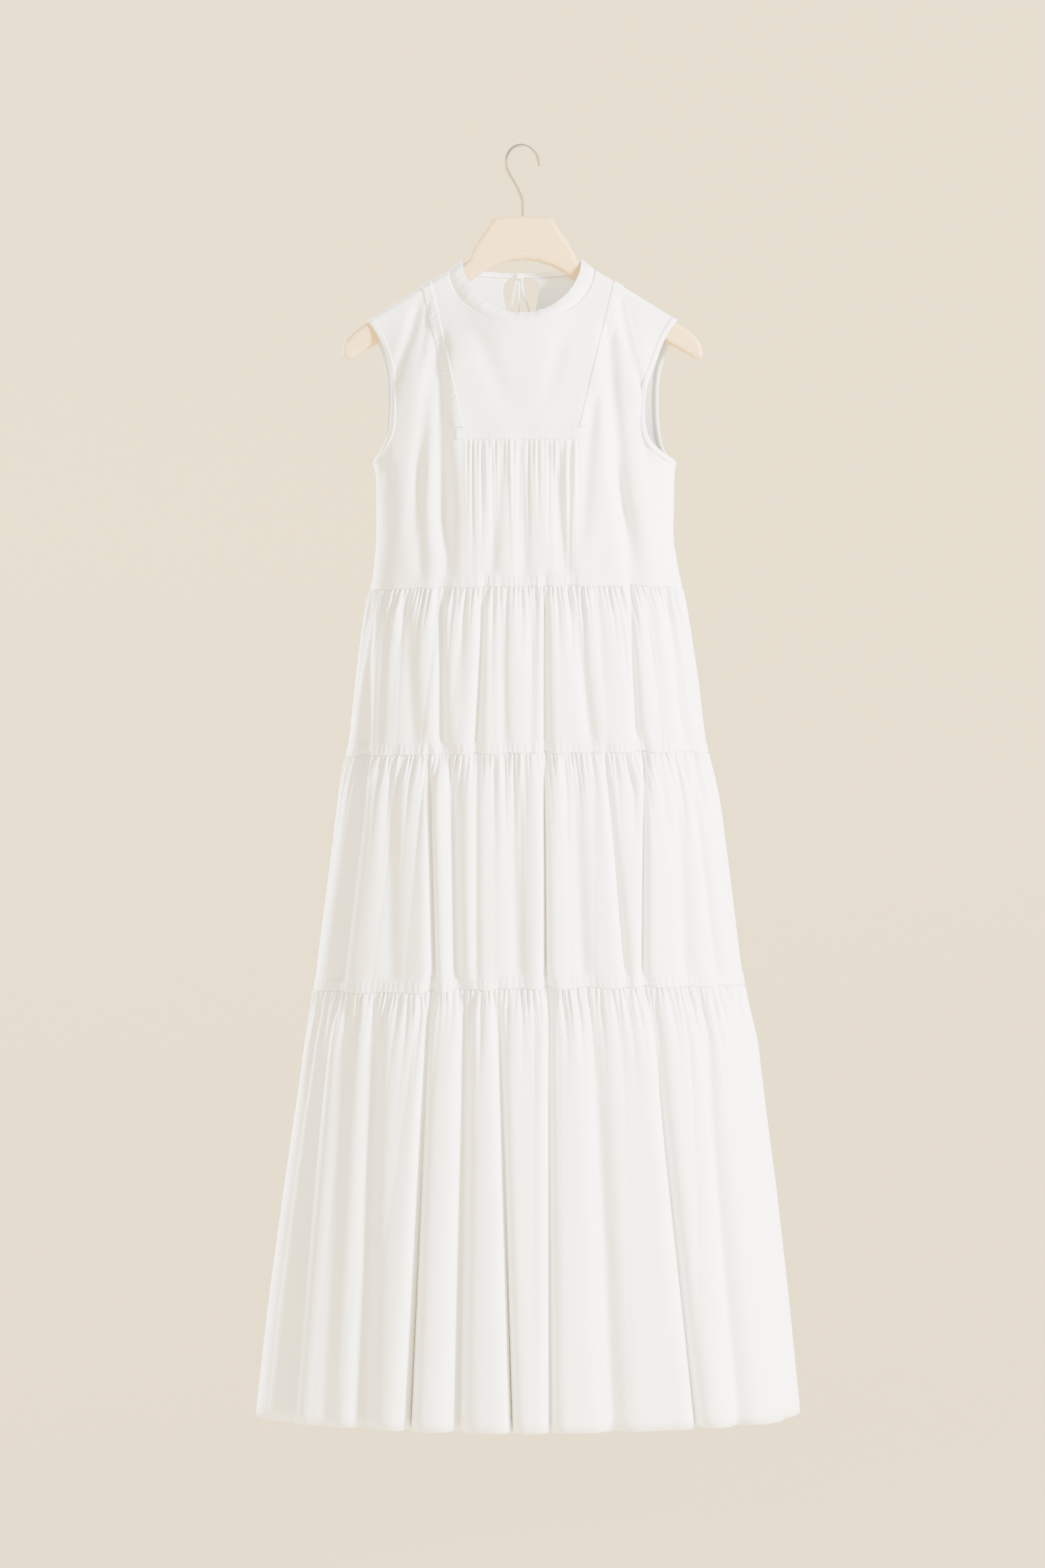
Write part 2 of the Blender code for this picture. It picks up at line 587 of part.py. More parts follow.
def back_bodice():
    """The back body: two halves parted by the keyhole and joined below it."""
    rows = UPPER_ROWS
    tip = LEFT_BACK_ARMHOLE[0][1]
    halves = []
    for sign, armhole in ((-1, LEFT_BACK_ARMHOLE), (1, RIGHT_BACK_ARMHOLE)):
        outer_edge = edge_at(armhole, tip + (BIB_JOINT_HEIGHT - tip) * rows)
        top_height = KEYHOLE[0][0]
        slit_foot = KEYHOLE[-1][0]
        heights = np.where(rows <= rows[KEYHOLE_ROW],
                           top_height + (slit_foot - top_height) * rows / rows[KEYHOLE_ROW],
                           slit_foot + (BIB_JOINT_HEIGHT - slit_foot)
                           * (rows - rows[KEYHOLE_ROW]) / (1 - rows[KEYHOLE_ROW]))
        slit = np.array(KEYHOLE)
        half_width = np.interp(-heights, -slit[:, 0], slit[:, 1], right=0.0)
        slit_edge = np.stack((KEYHOLE_CENTRE + sign * half_width, heights), axis=-1)
        turns = sign * np.concatenate((BACK_NECK_TURNS[::-1], [keyhole_turn(sign)]))
        shoulder = shoulder_line(outer_edge[0, 0], NECK_CENTRE + sign * NECK_HALF_WIDTH,
                                 BACK_SHOULDER_PART + 1)
        neck = neck_curve(BACK, turns)
        top = np.concatenate((shoulder, neck[1:]), axis=0)
        slit_edge[0] = top[-1]
        outer_edge[0] = top[0]
        across = length_shares(top)
        foot = along((outer_edge[-1], slit_edge[-1]), across)
        half = coons(top, foot, outer_edge, slit_edge, across, rows)
        halves.append(half if sign < 0 else half[:, ::-1])
    places = np.concatenate(halves, axis=1)
    columns = halves[0].shape[1]
    upper = body_at(places[..., 0], places[..., 1], BACK)
    first = np.delete(places[-1], columns, axis=0)
    lower = lower_rows(first, LEFT_BACK_ARMHOLE, RIGHT_BACK_ARMHOLE, BACK, BACK_CHEST_ROWS)
    lower = np.insert(lower, columns, lower[:, columns - 1], axis=1)
    grid = np.concatenate((upper, lower), axis=0)
    index = np.arange(grid.shape[0] * grid.shape[1]).reshape(grid.shape[:2])
    index[KEYHOLE_ROW:, columns] = index[KEYHOLE_ROW:, columns - 1]
    keep = np.ones((grid.shape[0] - 1, grid.shape[1] - 1), dtype=bool)
    keep[:, columns - 1] = False
    normals = panel("back_bodice", grid.reshape(-1, 3), grid_faces(index, BACK, keep), BACK)
    return grid, normals[BACK_SHOULDER_PART:2 * columns - BACK_SHOULDER_PART]


def bib_edge(sign):
    """Places down one side of the bib: out along the shoulder, then down its joint."""
    joint = bib_joint(sign, UPPER_ROWS, BIB_JOINT_HEIGHT + HALF_GAP) - (sign * HALF_GAP, 0.0)
    shoulder = shoulder_line(NECK_CENTRE + sign * NECK_HALF_WIDTH, joint[0, 0], SHOULDER_PART + 1)
    return np.concatenate((shoulder, joint[1:]), axis=0)


def length_shares(points):
    """The share of a line's length at each of its points."""
    steps = np.linalg.norm(np.diff(points, axis=0), axis=1)
    return np.concatenate(([0.0], np.cumsum(steps))) / np.sum(steps)


def front_bib():
    """The bib: from the neck and the shoulders down to the gathers."""
    left, right = bib_edge(-1), bib_edge(1)
    top = neck_curve(FRONT, front_neck_turns())
    across = length_shares(top)
    foot = along((left[-1], right[-1]), across)
    places = coons(top, foot, left, right, across, length_shares(left))
    grid = body_at(places[..., 0], places[..., 1], FRONT)
    index = np.arange(grid.shape[0] * grid.shape[1]).reshape(grid.shape[:2])
    normals = panel("front_bib", grid.reshape(-1, 3), grid_faces(index, FRONT), FRONT)
    return normals[:len(top)]


def bib_bands():
    """The two side bands over the bib's seams, and the band over its foot."""
    side_rows = UPPER_ROWS.copy()
    top_height = shoulder_height(BIB_JOINT_TOP)
    side_rows[-1] = (BIB_BAND_TOP + SEAM_GAP - top_height) / (BIB_JOINT_HEIGHT - top_height)
    offsets = np.array((-1, 0, 1)) * BAND_HALF_WIDTH
    for sign, name in ((-1, "bib_side_band_left"), (1, "bib_side_band_right")):
        joint = bib_joint(sign, side_rows)
        x = joint[:, None, 0] + offsets
        slant = shoulder_height(x) - shoulder_height(joint[:, :1])
        heights = joint[:, 1:] + slant * (1 - side_rows)[:, None]
        grid = body_at(x, heights, FRONT)
        index = np.arange(grid.shape[0] * 3).reshape(grid.shape[:2])
        trim(name, grid.reshape(-1, 3), grid_faces(index, FRONT), SIDE_BAND_GAP)
    columns = BIB_GATHERS + 1
    left = BIB_JOINT_LEFT - BAND_HALF_WIDTH
    right = BIB_JOINT_RIGHT + BAND_HALF_WIDTH
    x = np.linspace(left, right, columns)
    heights = np.array((BIB_BAND_TOP, BIB_JOINT_HEIGHT, BIB_BAND_FOOT))
    grid = body_at(np.tile(x, (3, 1)), np.repeat(heights[:, None], columns, axis=1), FRONT)
    index = np.arange(grid.shape[0] * columns).reshape(grid.shape[:2])
    trim("bib_bottom_band", grid.reshape(-1, 3), grid_faces(index, FRONT))


def armhole_binding(name, front_edge, front_next, back_edge, back_next):
    """A strip round an armhole: down the front edge, under the arm and up the back edge."""
    edge = np.concatenate((front_edge[:-1], (front_edge[-1:] + back_edge[-1:]) / 2,
                           back_edge[1:-1][::-1]))
    edge[0] = (front_edge[0] + back_edge[0]) / 2
    inward = np.concatenate((front_next[:-1], front_next[-1:], back_next[1:-1][::-1])) - edge
    tangent = np.roll(edge, -1, axis=0) - np.roll(edge, 1, axis=0)
    tangent /= np.linalg.norm(tangent, axis=1, keepdims=True)
    underarm = len(front_edge) - 1
    inward[edge[:, 2] < BIB_BAND_FOOT] = (0.0, 0.0, -1.0)
    inward -= tangent * np.sum(inward * tangent, axis=1, keepdims=True)
    inward /= np.linalg.norm(inward, axis=1, keepdims=True)
    normal = np.cross(tangent, inward)
    normal *= np.sign(normal[underarm, 0] * edge[underarm, 0])
    outer_line = edge - inward * TRIM_WALL / 2 + normal * BINDING_GAP
    inner_line = edge + inward * BINDING_WIDTH + normal * BINDING_GAP
    rings = np.stack((outer_line, inner_line, inner_line + normal * TRIM_WALL,
                      outer_line + normal * TRIM_WALL), axis=1)
    count = len(rings)
    faces = []
    for ring in range(count):
        after = (ring + 1) % count
        for corner in range(4):
            beside = (corner + 1) % 4
            faces.append((ring * 4 + corner, after * 4 + corner,
                          after * 4 + beside, ring * 4 + beside))
    mesh = bpy.data.meshes.new(name)
    mesh.from_pydata(rings.reshape(-1, 3).tolist(), [], faces)
    shape = bmesh.new()
    shape.from_mesh(mesh)
    bmesh.ops.recalc_face_normals(shape, faces=shape.faces[:])
    shape.to_mesh(mesh)
    shape.free()
    mesh.materials.append(finish("white_cotton"))
    bpy.context.scene.collection.objects.link(bpy.data.objects.new(name, mesh))


def armhole_bindings(front, back):
    """Both armhole bindings, from the edges of the front and back body."""
    front = front[:len(UPPER_ROWS) + len(FRONT_CHEST_ROWS)]
    back = back[:len(UPPER_ROWS) + len(BACK_CHEST_ROWS)]
    for name, edge, beside in (("armhole_binding_left", 0, 1), ("armhole_binding_right", -1, -2)):
        armhole_binding(name, front[:, edge], front[:, beside], back[:, edge], back[:, beside])


# The neckband

def neckband(name, side, turn, top_turn, foot_normals):
    """A stretch of the stand band, by the turns of its foot and top; its foot leans as the body."""
    columns = len(turn) - 1
    seam = neck_curve(side, turn)
    foot = body_at(seam[:, 0], seam[:, 1], side)
    drop = FRONT_BAND_TOP_DROP if side == FRONT else BACK_BAND_TOP_DROP
    depth = FRONT_BAND_TOP_DEPTH if side == FRONT else BACK_BAND_TOP_DEPTH
    x, z = ring_places(top_turn, NECKBAND_TOP_HALF_WIDTH, drop).T
    z = z + NECKBAND_TOP_RISE
    off = shoulder_wrap(shoulder_height(x) - z)
    lean = off + (depth - SHOULDER_WRAP) * np.power(np.cos(top_turn).clip(0.0),
                                                         BAND_LEAN_POWER)
    top = np.stack((x, side * np.maximum(lean, HALF_GAP), z), axis=-1)
    foot = foot + (top - foot) * (SEAM_GAP / np.linalg.norm(top - foot, axis=1))[:, None]
    grid = np.stack((top, (top + foot) / 2, foot))
    index = np.arange(3 * (columns + 1)).reshape(3, columns + 1)
    faces = grid_faces(index, side)
    outer = grid.reshape(-1, 3)
    normals = face_normals_at_points(outer, faces)
    normals[2 * (columns + 1):] = foot_normals
    inner = keep_to_side(outer - WALL * normals, side)
    solid_wall(name, outer, inner, faces, "white_cotton")


def neckbands(bib_normals, back_normals):
    """The front band, and the two back bands that end against the knot."""
    front = front_neck_turns()
    neckband("neckband_front", FRONT, front, front, bib_normals)
    half = len(back_normals) // 2
    for sign, name in ((-1, "neckband_back_left"), (1, "neckband_back_right")):
        end = KNOT_PLACE[0] + sign * (KNOT_SIZE[0] + SEAM_GAP) - NECK_CENTRE
        turn = np.concatenate((sign * BACK_NECK_TURNS[::-1], [sign * keyhole_turn(sign)]))
        foot_turn = np.concatenate((turn, [np.arcsin(end / NECK_HALF_WIDTH)]))
        top_turn = np.concatenate((turn, [np.arcsin(end / NECKBAND_TOP_HALF_WIDTH)]))
        normals = back_normals[:half] if sign < 0 else back_normals[half:][::-1]
        normals = np.vstack((normals, normals[-1]))
        order = slice(None, None, -sign)
        neckband(name, BACK, foot_turn[order], top_turn[order], normals[order])


# The tiers

def tier_half(name, tier, side):
    """The front or back half of a tier, gathered at its top and folded to its foot."""
    columns = 2 * tier["gathers"] + 1
    shares = np.linspace(0.0, 1.0, columns)
    top = seam_height(tier["top"], shares) - HALF_GAP
    foot = seam_height(tier["foot"], shares) + HALF_GAP
    rows = []
    for share in tier["rows"]:
        level = top + (foot - top) * share
        row = body(row_angles(float(np.mean(level)), side, shares), level, side)
        push = fold_depth(row, share, tier["folds"], side)
        push *= ease(np.minimum(shares, 1 - shares) / FOLD_FADE)
        push += gather_wave(columns, float(np.mean(top - level)))
        rows.append(row + row_normals(row) * push[:, None])
    grid = np.array(rows)
    index = np.arange(grid.shape[0] * columns).reshape(grid.shape[:2])
    outer = keep_to_side(grid.reshape(-1, 3), side)
    panel(name, outer, grid_faces(index, side), side, level=True)


def tiers():
    """Three tiers, each in a front and a back half."""
    for name, tier in TIERS.items():
        tier_half(name + "_front", tier, FRONT)
        tier_half(name + "_back", tier, BACK)


# The knot and the ties

def smooth_route(points, spacing):
    """Points along a smooth curve through a route's own points, a spacing apart."""
    points = np.asarray(points, dtype=float)
    padded = np.vstack((2 * points[0] - points[1], points, 2 * points[-1] - points[-2]))
    curve = []
    for start in range(len(points) - 1):
        before, first, second, after = padded[start:start + 4]
        for share in np.linspace(0.0, 1.0, 12, endpoint=False):
            curve.append(0.5 * (2 * first + (second - before) * share
                                + (2 * before - 5 * first + 4 * second - after) * share ** 2
                                + (3 * first - before - 3 * second + after) * share ** 3))
    curve.append(points[-1])
    curve = np.array(curve)
    steps = np.linalg.norm(np.diff(curve, axis=0), axis=1)
    length = np.concatenate(([0.0], np.cumsum(steps)))
    count = max(2, int(round(length[-1] / spacing)) + 1)
    wanted = np.linspace(0.0, length[-1], count)
    return np.stack([np.interp(wanted, length, curve[:, axis]) for axis in range(3)], axis=-1)


def tube(name, points, diameter, resolution, material):
    """A round tube with closed ends along points."""
    curve = bpy.data.curves.new(name, "CURVE")
    curve.dimensions = "3D"
    curve.bevel_depth = diameter / 2
    curve.bevel_resolution = resolution
    curve.use_fill_caps = True
    spline = curve.splines.new("POLY")
    spline.points.add(len(points) - 1)
    for spot, place in zip(spline.points, points):
        spot.co = (*place, 1.0)
    curve.materials.append(finish(material))
    bpy.context.scene.collection.objects.link(bpy.data.objects.new(name, curve))


def tie_route(places):
    """A tie's own points: down outside the back, from front-view places and drops."""
    route = []
    for x, drop in places:
        height = KNOT_PLACE[2] - TIE_START - drop
        behind = body_at(np.array(x), np.array(height), BACK)[1] + TIE_CLEARANCE
        route.append((x, behind if route else KNOT_PLACE[1], height))
    return route


def loop_route():
    """The bow's loop: down from the knot, round, and back up behind itself."""
    top = KNOT_PLACE[2] - TIE_START
    near = body_at(np.array(LOOP_PLACE), np.array(top - LOOP_DROP), BACK)[1] + TIE_CLEARANCE
    turn_height = top - LOOP_DROP
    middle = (KNOT_PLACE[1] + near) / 2
    down = [(LOOP_PLACE, KNOT_PLACE[1], top),
            (LOOP_PLACE, middle, (2 * top + turn_height) / 3),
            (LOOP_PLACE, near + 0.0004, (top + 2 * turn_height) / 3)]
    turn = [(LOOP_PLACE, near + LOOP_HALF_GAP * (1 - np.cos(angle)),
             turn_height - LOOP_HALF_GAP * np.sin(angle))
            for angle in np.linspace(0.0, np.pi, 7)]
    up = [(LOOP_PLACE, near + 2 * LOOP_HALF_GAP - 0.0006, (top + 2 * turn_height) / 3),
          (LOOP_PLACE, middle + LOOP_HALF_GAP, (2 * top + turn_height) / 3),
          (LOOP_PLACE, KNOT_PLACE[1] + 0.0052, top + 0.0022)]
    return down + turn + up


def knot_and_ties():
    """The knot, its two free ends and its loop."""
    shape = bmesh.new()
    bmesh.ops.create_icosphere(shape, subdivisions=2, radius=1.0)
    for vertex in shape.verts:
        vertex.co = [centre + size * value
                     for centre, size, value in zip(KNOT_PLACE, KNOT_SIZE, vertex.co)]
    mesh = bpy.data.meshes.new("neck_tie_knot")
    shape.to_mesh(mesh)
    shape.free()
    mesh.shade_smooth()
    mesh.materials.append(finish("white_cotton"))
    bpy.context.scene.collection.objects.link(bpy.data.objects.new("neck_tie_knot", mesh))
    spacing = 2.8 * TIE_DIAMETER
    tube("neck_tie_left", smooth_route(tie_route(LEFT_TIE), spacing), TIE_DIAMETER, 2,
         "white_cotton")
    tube("neck_tie_right", smooth_route(tie_route(RIGHT_TIE), spacing), TIE_DIAMETER, 2,
         "white_cotton")
    tube("neck_tie_loop", smooth_route(loop_route(), 2.2 * TIE_DIAMETER), TIE_DIAMETER, 2,
         "white_cotton")


# The hanger

def hanger():
    """The flat board, rounded on its edges."""
    right = list(HANGER_UPPER) + list(HANGER_LOWER)
    left = [(-x, z) for x, z in reversed(right[1:-1])]
    outline = right + left
    shape = bmesh.new()
    front = [shape.verts.new((x, -HANGER_THICKNESS / 2, z)) for x, z in outline]
    base = shape.faces.new(front)
    grown = bmesh.ops.extrude_face_region(shape, geom=[base])
    moved = [item for item in grown["geom"] if isinstance(item, bmesh.types.BMVert)]
    bmesh.ops.translate(shape, verts=moved, vec=(0.0, HANGER_THICKNESS, 0.0))
    bmesh.ops.recalc_face_normals(shape, faces=shape.faces[:])
    mesh = bpy.data.meshes.new("hanger")
    shape.to_mesh(mesh)
    shape.free()
    mesh.materials.append(finish("moulded_beige"))
    board = bpy.data.objects.new("hanger", mesh)
    bpy.context.scene.collection.objects.link(board)
    edge = board.modifiers.new("rounded edges", "BEVEL")
    edge.width = HANGER_EDGE_ROUND
    edge.segments = 3
    edge.limit_method = "ANGLE"
    edge.angle_limit = np.radians(60.0)


def hanger_hook():
    """The wire: a shaft, a slant to the left, and a loop over the top to its tip."""
    centre_height = -HOOK_LOOP_RADIUS + HOOK_WIRE / 2
    places = list(HOOK_SHAFT)
    for angle in np.linspace(HOOK_LOOP_START, HOOK_LOOP_END, HOOK_LOOP_POINTS):
        places.append((HOOK_LOOP_RADIUS * np.cos(angle),
                       centre_height + HOOK_LOOP_RADIUS * np.sin(angle)))
    route = [(x * np.cos(HOOK_TURN), x * np.sin(HOOK_TURN), z) for x, z in places]
    tube("hanger_hook", smooth_route(route, 1.3 * HOOK_WIRE), HOOK_WIRE, 2, "steel_wire")


hanger()
hanger_hook()
front_grid = front_bodice()
back_grid, back_neck_normals = back_bodice()
bib_neck_normals = front_bib()
bib_bands()
armhole_bindings(front_grid, back_grid)
neckbands(bib_neck_normals, back_neck_normals)
tiers()
knot_and_ties()
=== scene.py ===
"""How the tiered maxi dress on its hanger looks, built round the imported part.

Metres, +Z up, in the part's own frame: the origin is the inside top of the hook, and the front
of the dress faces -Y.
"""
import math

import bmesh
import bpy
import numpy as np
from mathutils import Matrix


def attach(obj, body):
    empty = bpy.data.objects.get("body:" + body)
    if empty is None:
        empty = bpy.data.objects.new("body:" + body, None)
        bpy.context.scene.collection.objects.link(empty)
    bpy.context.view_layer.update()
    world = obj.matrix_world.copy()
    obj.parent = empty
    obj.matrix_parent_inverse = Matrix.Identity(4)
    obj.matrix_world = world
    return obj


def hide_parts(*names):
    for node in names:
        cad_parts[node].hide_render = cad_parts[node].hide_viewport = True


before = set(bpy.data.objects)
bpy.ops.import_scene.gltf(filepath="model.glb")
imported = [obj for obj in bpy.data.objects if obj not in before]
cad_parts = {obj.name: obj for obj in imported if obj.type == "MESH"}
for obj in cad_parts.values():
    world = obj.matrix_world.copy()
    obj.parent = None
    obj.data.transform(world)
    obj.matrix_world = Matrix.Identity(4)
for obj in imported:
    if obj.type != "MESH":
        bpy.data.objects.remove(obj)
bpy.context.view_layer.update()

# The view
# The camera stands level with the middle of the dress and four metres in front of it, and takes
# in a little more than the hook and the hem.
VIEW_DISTANCE = 4.0
VIEW_HEIGHT = -0.718
VIEW_FRAME = 1.767
SENSOR = 36.0

camera_data = bpy.data.cameras.new("camera")
camera_data.sensor_width = SENSOR
camera_data.lens = SENSOR * VIEW_DISTANCE / VIEW_FRAME
camera = bpy.data.objects.new("camera", camera_data)
bpy.context.scene.collection.objects.link(camera)
camera.location = (0.0, -VIEW_DISTANCE, VIEW_HEIGHT)
camera.rotation_euler = (math.pi / 2, 0.0, 0.0)
bpy.context.scene.camera = camera


# White cotton poplin
# Every cloth piece is the same close plain weave, washed and pressed, with a dry matt face. Its
# threads run along the piece's own cut, so the pattern reads the piece's UV map, in metres.
THREAD_PITCH = 0.0007
THREAD_RELIEF = 0.00002
ONE_WAVE = 0.32
RUMPLE_RELIEF = 0.0011
RUMPLE_SCALE = (34.0, 13.0, 1.0)
RUMPLE_GRAIN = {"Scale": 1.0, "Detail": 4.0, "Roughness": 0.55, "Distortion": 0.4}
PRESSED_SHARE = 0.45
SMOOTHEST = 0.78
SMOOTH_RANGE = 0.10
SHEEN = 0.12
SHEEN_SPREAD = 0.6
COTTON_WHITE = (0.82, 0.82, 0.81, 1.0)
# The darker cotton is painted shade: the colour runs to it in the rumples' hollows.
COTTON_PAINTED_SHADE = (0.77, 0.77, 0.757, 1.0)


class Shade:
    """A socket of a shader tree. Arithmetic on it adds the tree's Math nodes."""

    def __init__(self, tree, socket=None):
        self.tree = tree
        self.socket = socket

    def node(self, kind, settings=None, sockets=None, output=0):
        """Adds a node: its settings first, then the values or links of its sockets."""
        made = self.tree.nodes.new(kind)
        for key, value in (settings or {}).items():
            if key == "stops":
                for place, colour in value[2:]:
                    made.color_ramp.elements.new(place)
                for element, (place, colour) in zip(made.color_ramp.elements, value):
                    element.position = place
                    element.color = colour
            else:
                setattr(made, key, value)
        for key, value in (sockets or {}).items():
            if isinstance(value, Shade):
                self.tree.links.new(value.socket, made.inputs[key])
            else:
                made.inputs[key].default_value = value
        return Shade(self.tree, made.outputs[output])

    def math(self, operation, first, second):
        """One Math node on two sockets or numbers."""
        return self.node("ShaderNodeMath", {"operation": operation}, {0: first, 1: second})

    def __add__(self, other):
        return self.math("ADD", self, other)

    def __radd__(self, other):
        return self.math("ADD", other, self)

    def __mul__(self, other):
        return self.math("MULTIPLY", self, other)

    def __rmul__(self, other):
        return self.math("MULTIPLY", other, self)

    def mix(self, first, second):
        """A colour between two others, by this socket's value."""
        return self.node("ShaderNodeMix", {"data_type": "RGBA"}, {0: self, 6: first, 7: second}, 2)

    def bump(self):
        """A bumped normal, with this socket's value as its height in metres."""
        return self.node("ShaderNodeBump", sockets={"Height": self, "Distance": 1.0,
                                                    "Strength": 1.0})

    def into(self, shader, name):
        """Leads this socket into one of the shader's."""
        self.tree.links.new(self.socket, shader.inputs[name])


def new_material(name):
    """A material with only its output, its shader, and a Shade to build with."""
    material = bpy.data.materials.new(name)
    material.use_nodes = True
    tree = material.node_tree
    return material, Shade(tree), tree.nodes["Principled BSDF"]


def white_cotton(name, rumple):
    """The poplin, with soft pressed-in rumples as deep as the piece has, and painted shade in their
    hollows.
    """
    material, build, shader = new_material(name)
    place = build.node("ShaderNodeTexCoord", output=2)
    wide = build.node("ShaderNodeMapping", sockets={"Vector": place, "Scale": RUMPLE_SCALE})
    soft = build.node("ShaderNodeTexNoise", sockets={"Vector": wide, **RUMPLE_GRAIN})
    thread = build.node("ShaderNodeMapping", sockets={
        "Vector": place, "Scale": (1 / THREAD_PITCH, 1 / THREAD_PITCH, 1.0)})
    warp, weft = (build.node("ShaderNodeTexWave", {"bands_direction": axis, "wave_profile": "SIN"},
                             {"Vector": thread, "Scale": ONE_WAVE}, 1) for axis in "XY")
    height = soft * (rumple * RUMPLE_RELIEF) + (warp + weft) * THREAD_RELIEF
    # Where the rumple noise is low, the bump sinks and the colour goes darker. This is a random
    # tone across the cloth, with painted shade in the rumples' hollows.
    soft.mix(COTTON_PAINTED_SHADE, COTTON_WHITE).into(shader, "Base Color")
    (soft * SMOOTH_RANGE + SMOOTHEST).into(shader, "Roughness")
    height.bump().into(shader, "Normal")
    shader.inputs["Sheen Weight"].default_value = SHEEN
    shader.inputs["Sheen Roughness"].default_value = SHEEN_SPREAD
    return material


SKIRT_COTTON = white_cotton("white_cotton", 1.0)
FLAT_COTTON = white_cotton("white_cotton_pressed", PRESSED_SHARE)

# The form that the cloth hangs in
# The dress hangs from the hanger's arms as a flattened tube. Half sections by height say how far
# it reaches to each side, to the front and to the back.
FRONT, BACK = -1, 1
SEAM_GAP = 0.0003
HALF_GAP = SEAM_GAP / 2
SECTION_COLUMNS = ("height", "left", "right", "front", "back")
SECTIONS = np.array((
    (-0.120, -0.1900, 0.1900, 0.030, 0.022),
    (-0.200, -0.1840, 0.1840, 0.042, 0.030),
    (-0.280, -0.1750, 0.1770, 0.048, 0.036),
    (-0.3555, -0.1680, 0.1730, 0.052, 0.041),
    (-0.372, -0.1645, 0.1710, 0.053, 0.043),
    (-0.443, -0.1645, 0.1700, 0.056, 0.048),
    (-0.483, -0.1680, 0.1770, 0.058, 0.051),
    (-0.500, -0.1710, 0.1795, 0.060, 0.054),
    (-0.534, -0.1775, 0.1870, 0.070, 0.064),
    (-0.595, -0.1860, 0.1970, 0.074, 0.069),
    (-0.670, -0.1950, 0.2060, 0.076, 0.072),
    (-0.685, -0.1970, 0.2080, 0.077, 0.073),
    (-0.725, -0.2050, 0.2180, 0.087, 0.083),
    (-0.823, -0.2180, 0.2330, 0.093, 0.090),
    (-0.914, -0.2300, 0.2440, 0.096, 0.094),
    (-0.945, -0.2330, 0.2490, 0.098, 0.096),
    (-1.005, -0.2436, 0.2630, 0.109, 0.107),
    (-1.172, -0.2680, 0.2850, 0.117, 0.117),
    (-1.294, -0.2846, 0.2990, 0.122, 0.122),
    (-1.430, -0.3000, 0.3130, 0.127, 0.127),
))
SECTION_SOFTNESS = np.linspace(-0.010, 0.010, 5)
FLATNESS = 0.75
FULL_SIDE = math.pi / 2
ARC_SAMPLES = 361
SHOULDER_PEAK = -0.0830
SHOULDER_SLOPE = 0.634
SHOULDER_ROUND = 0.030
SHOULDER_WRAP = 0.0085
SHOULDER_REACH = 0.120


def ease(value):
    """A smooth step from 0 to 1."""
    value = np.clip(value, 0.0, 1.0)
    return value * value * (3 - 2 * value)


def section(height, column):
    """One column of the section table at a height, softened a little up and down."""
    place = SECTION_COLUMNS.index(column)
    near = -np.asarray(height)[..., None] + SECTION_SOFTNESS
    return np.interp(near, -SECTIONS[:, 0], SECTIONS[:, place]).mean(axis=-1)


def middle_and_half(height):
    """The middle and the half width of the section at a height."""
    left, right = section(height, "left"), section(height, "right")
    return (left + right) / 2, (right - left) / 2


def shoulder_height(x):
    """The height of the shoulder line at x."""
    return SHOULDER_PEAK - SHOULDER_SLOPE * np.sqrt(np.square(x) + SHOULDER_ROUND ** 2)


def shoulder_wrap(drop):
    """How far the cloth stands off the hanger's middle, by its drop from the shoulder line."""
    share = np.clip(drop / SHOULDER_WRAP, 0.0, 1.0)
    return SHOULDER_WRAP * np.sqrt(1 - np.square(1 - share))


def body(angle, height, side):
    """Points of the body at an angle round the section, from -90 at the left to 90 at the right."""
    middle, half = middle_and_half(height)
    x = middle + half * np.sin(angle)
    reach = section(height, "front" if side == FRONT else "back")
    hung = reach * np.power(np.clip(np.cos(angle), 0.0, 1.0), FLATNESS)
    drop = shoulder_height(x) - height
    share = ease(drop / SHOULDER_REACH)
    depth = (1 - share) * shoulder_wrap(drop) + share * hung
    return np.stack(np.broadcast_arrays(x, side * np.maximum(depth, HALF_GAP), height), axis=-1)


def angle_of(x, height):
    """The angle round the section at x."""
    middle, half = middle_and_half(height)
    return np.arcsin(np.clip((x - middle) / half, -1.0, 1.0))


def body_at(x, height, side):
    """Points of the body where the front view shows them at x."""
    return body(angle_of(x, height), height, side)


def link(name, mesh):
    """A new object with a mesh or curve, in the scene."""
    piece = bpy.data.objects.new(name, mesh)
    bpy.context.scene.collection.objects.link(piece)
    return piece


# The neck ties
# The neckband's ends are drawn out into thin ties of the same cotton, knotted over the keyhole.
# Two free ends and the bow's one loop hang down outside the back.
TIE_DIAMETER = 0.0028
KNOT_PLACE = (-0.0045, 0.0150, -0.1450)
KNOT_SIZE = (0.0055, 0.0045, 0.0050)
TIE_START = 0.0054
TIE_CLEARANCE = 0.0035
LEFT_TIE = ((-0.0077, -0.0004), (-0.0100, 0.012), (-0.0142, 0.034), (-0.0170, 0.060),
            (-0.0185, 0.090), (-0.0190, 0.125), (-0.0180, 0.160), (-0.0165, 0.190))
RIGHT_TIE = ((-0.0013, -0.0004), (0.0010, 0.012), (0.0075, 0.030), (0.0135, 0.052),
             (0.0165, 0.080), (0.0172, 0.112), (0.0162, 0.145), (0.0150, 0.175))
LOOP_PLACE = -0.0045
LOOP_DROP = 0.072
LOOP_HALF_GAP = 0.0060
LOOP_TURN_POINTS = 7
LOOP_EASE = 0.0004
LOOP_TUCK = 0.0006
LOOP_END = (0.0052, 0.0022)
ROUTE_STEPS = 12
TIE_STEP = 0.002
TUBE_SIDES = 10
BLUNT_END = 0.25
KNOT_TURNS = 2
KNOT_STEPS = 90
KNOT_HEIGHT_SHARE = 0.8
KNOT_STRAND = 0.0014
KNOT_SWELL = 1.5


def lengths_along(points):
    """The length from a line's start to each of its points."""
    steps = np.linalg.norm(np.diff(points, axis=0), axis=1)
    return np.concatenate(([0.0], np.cumsum(steps)))


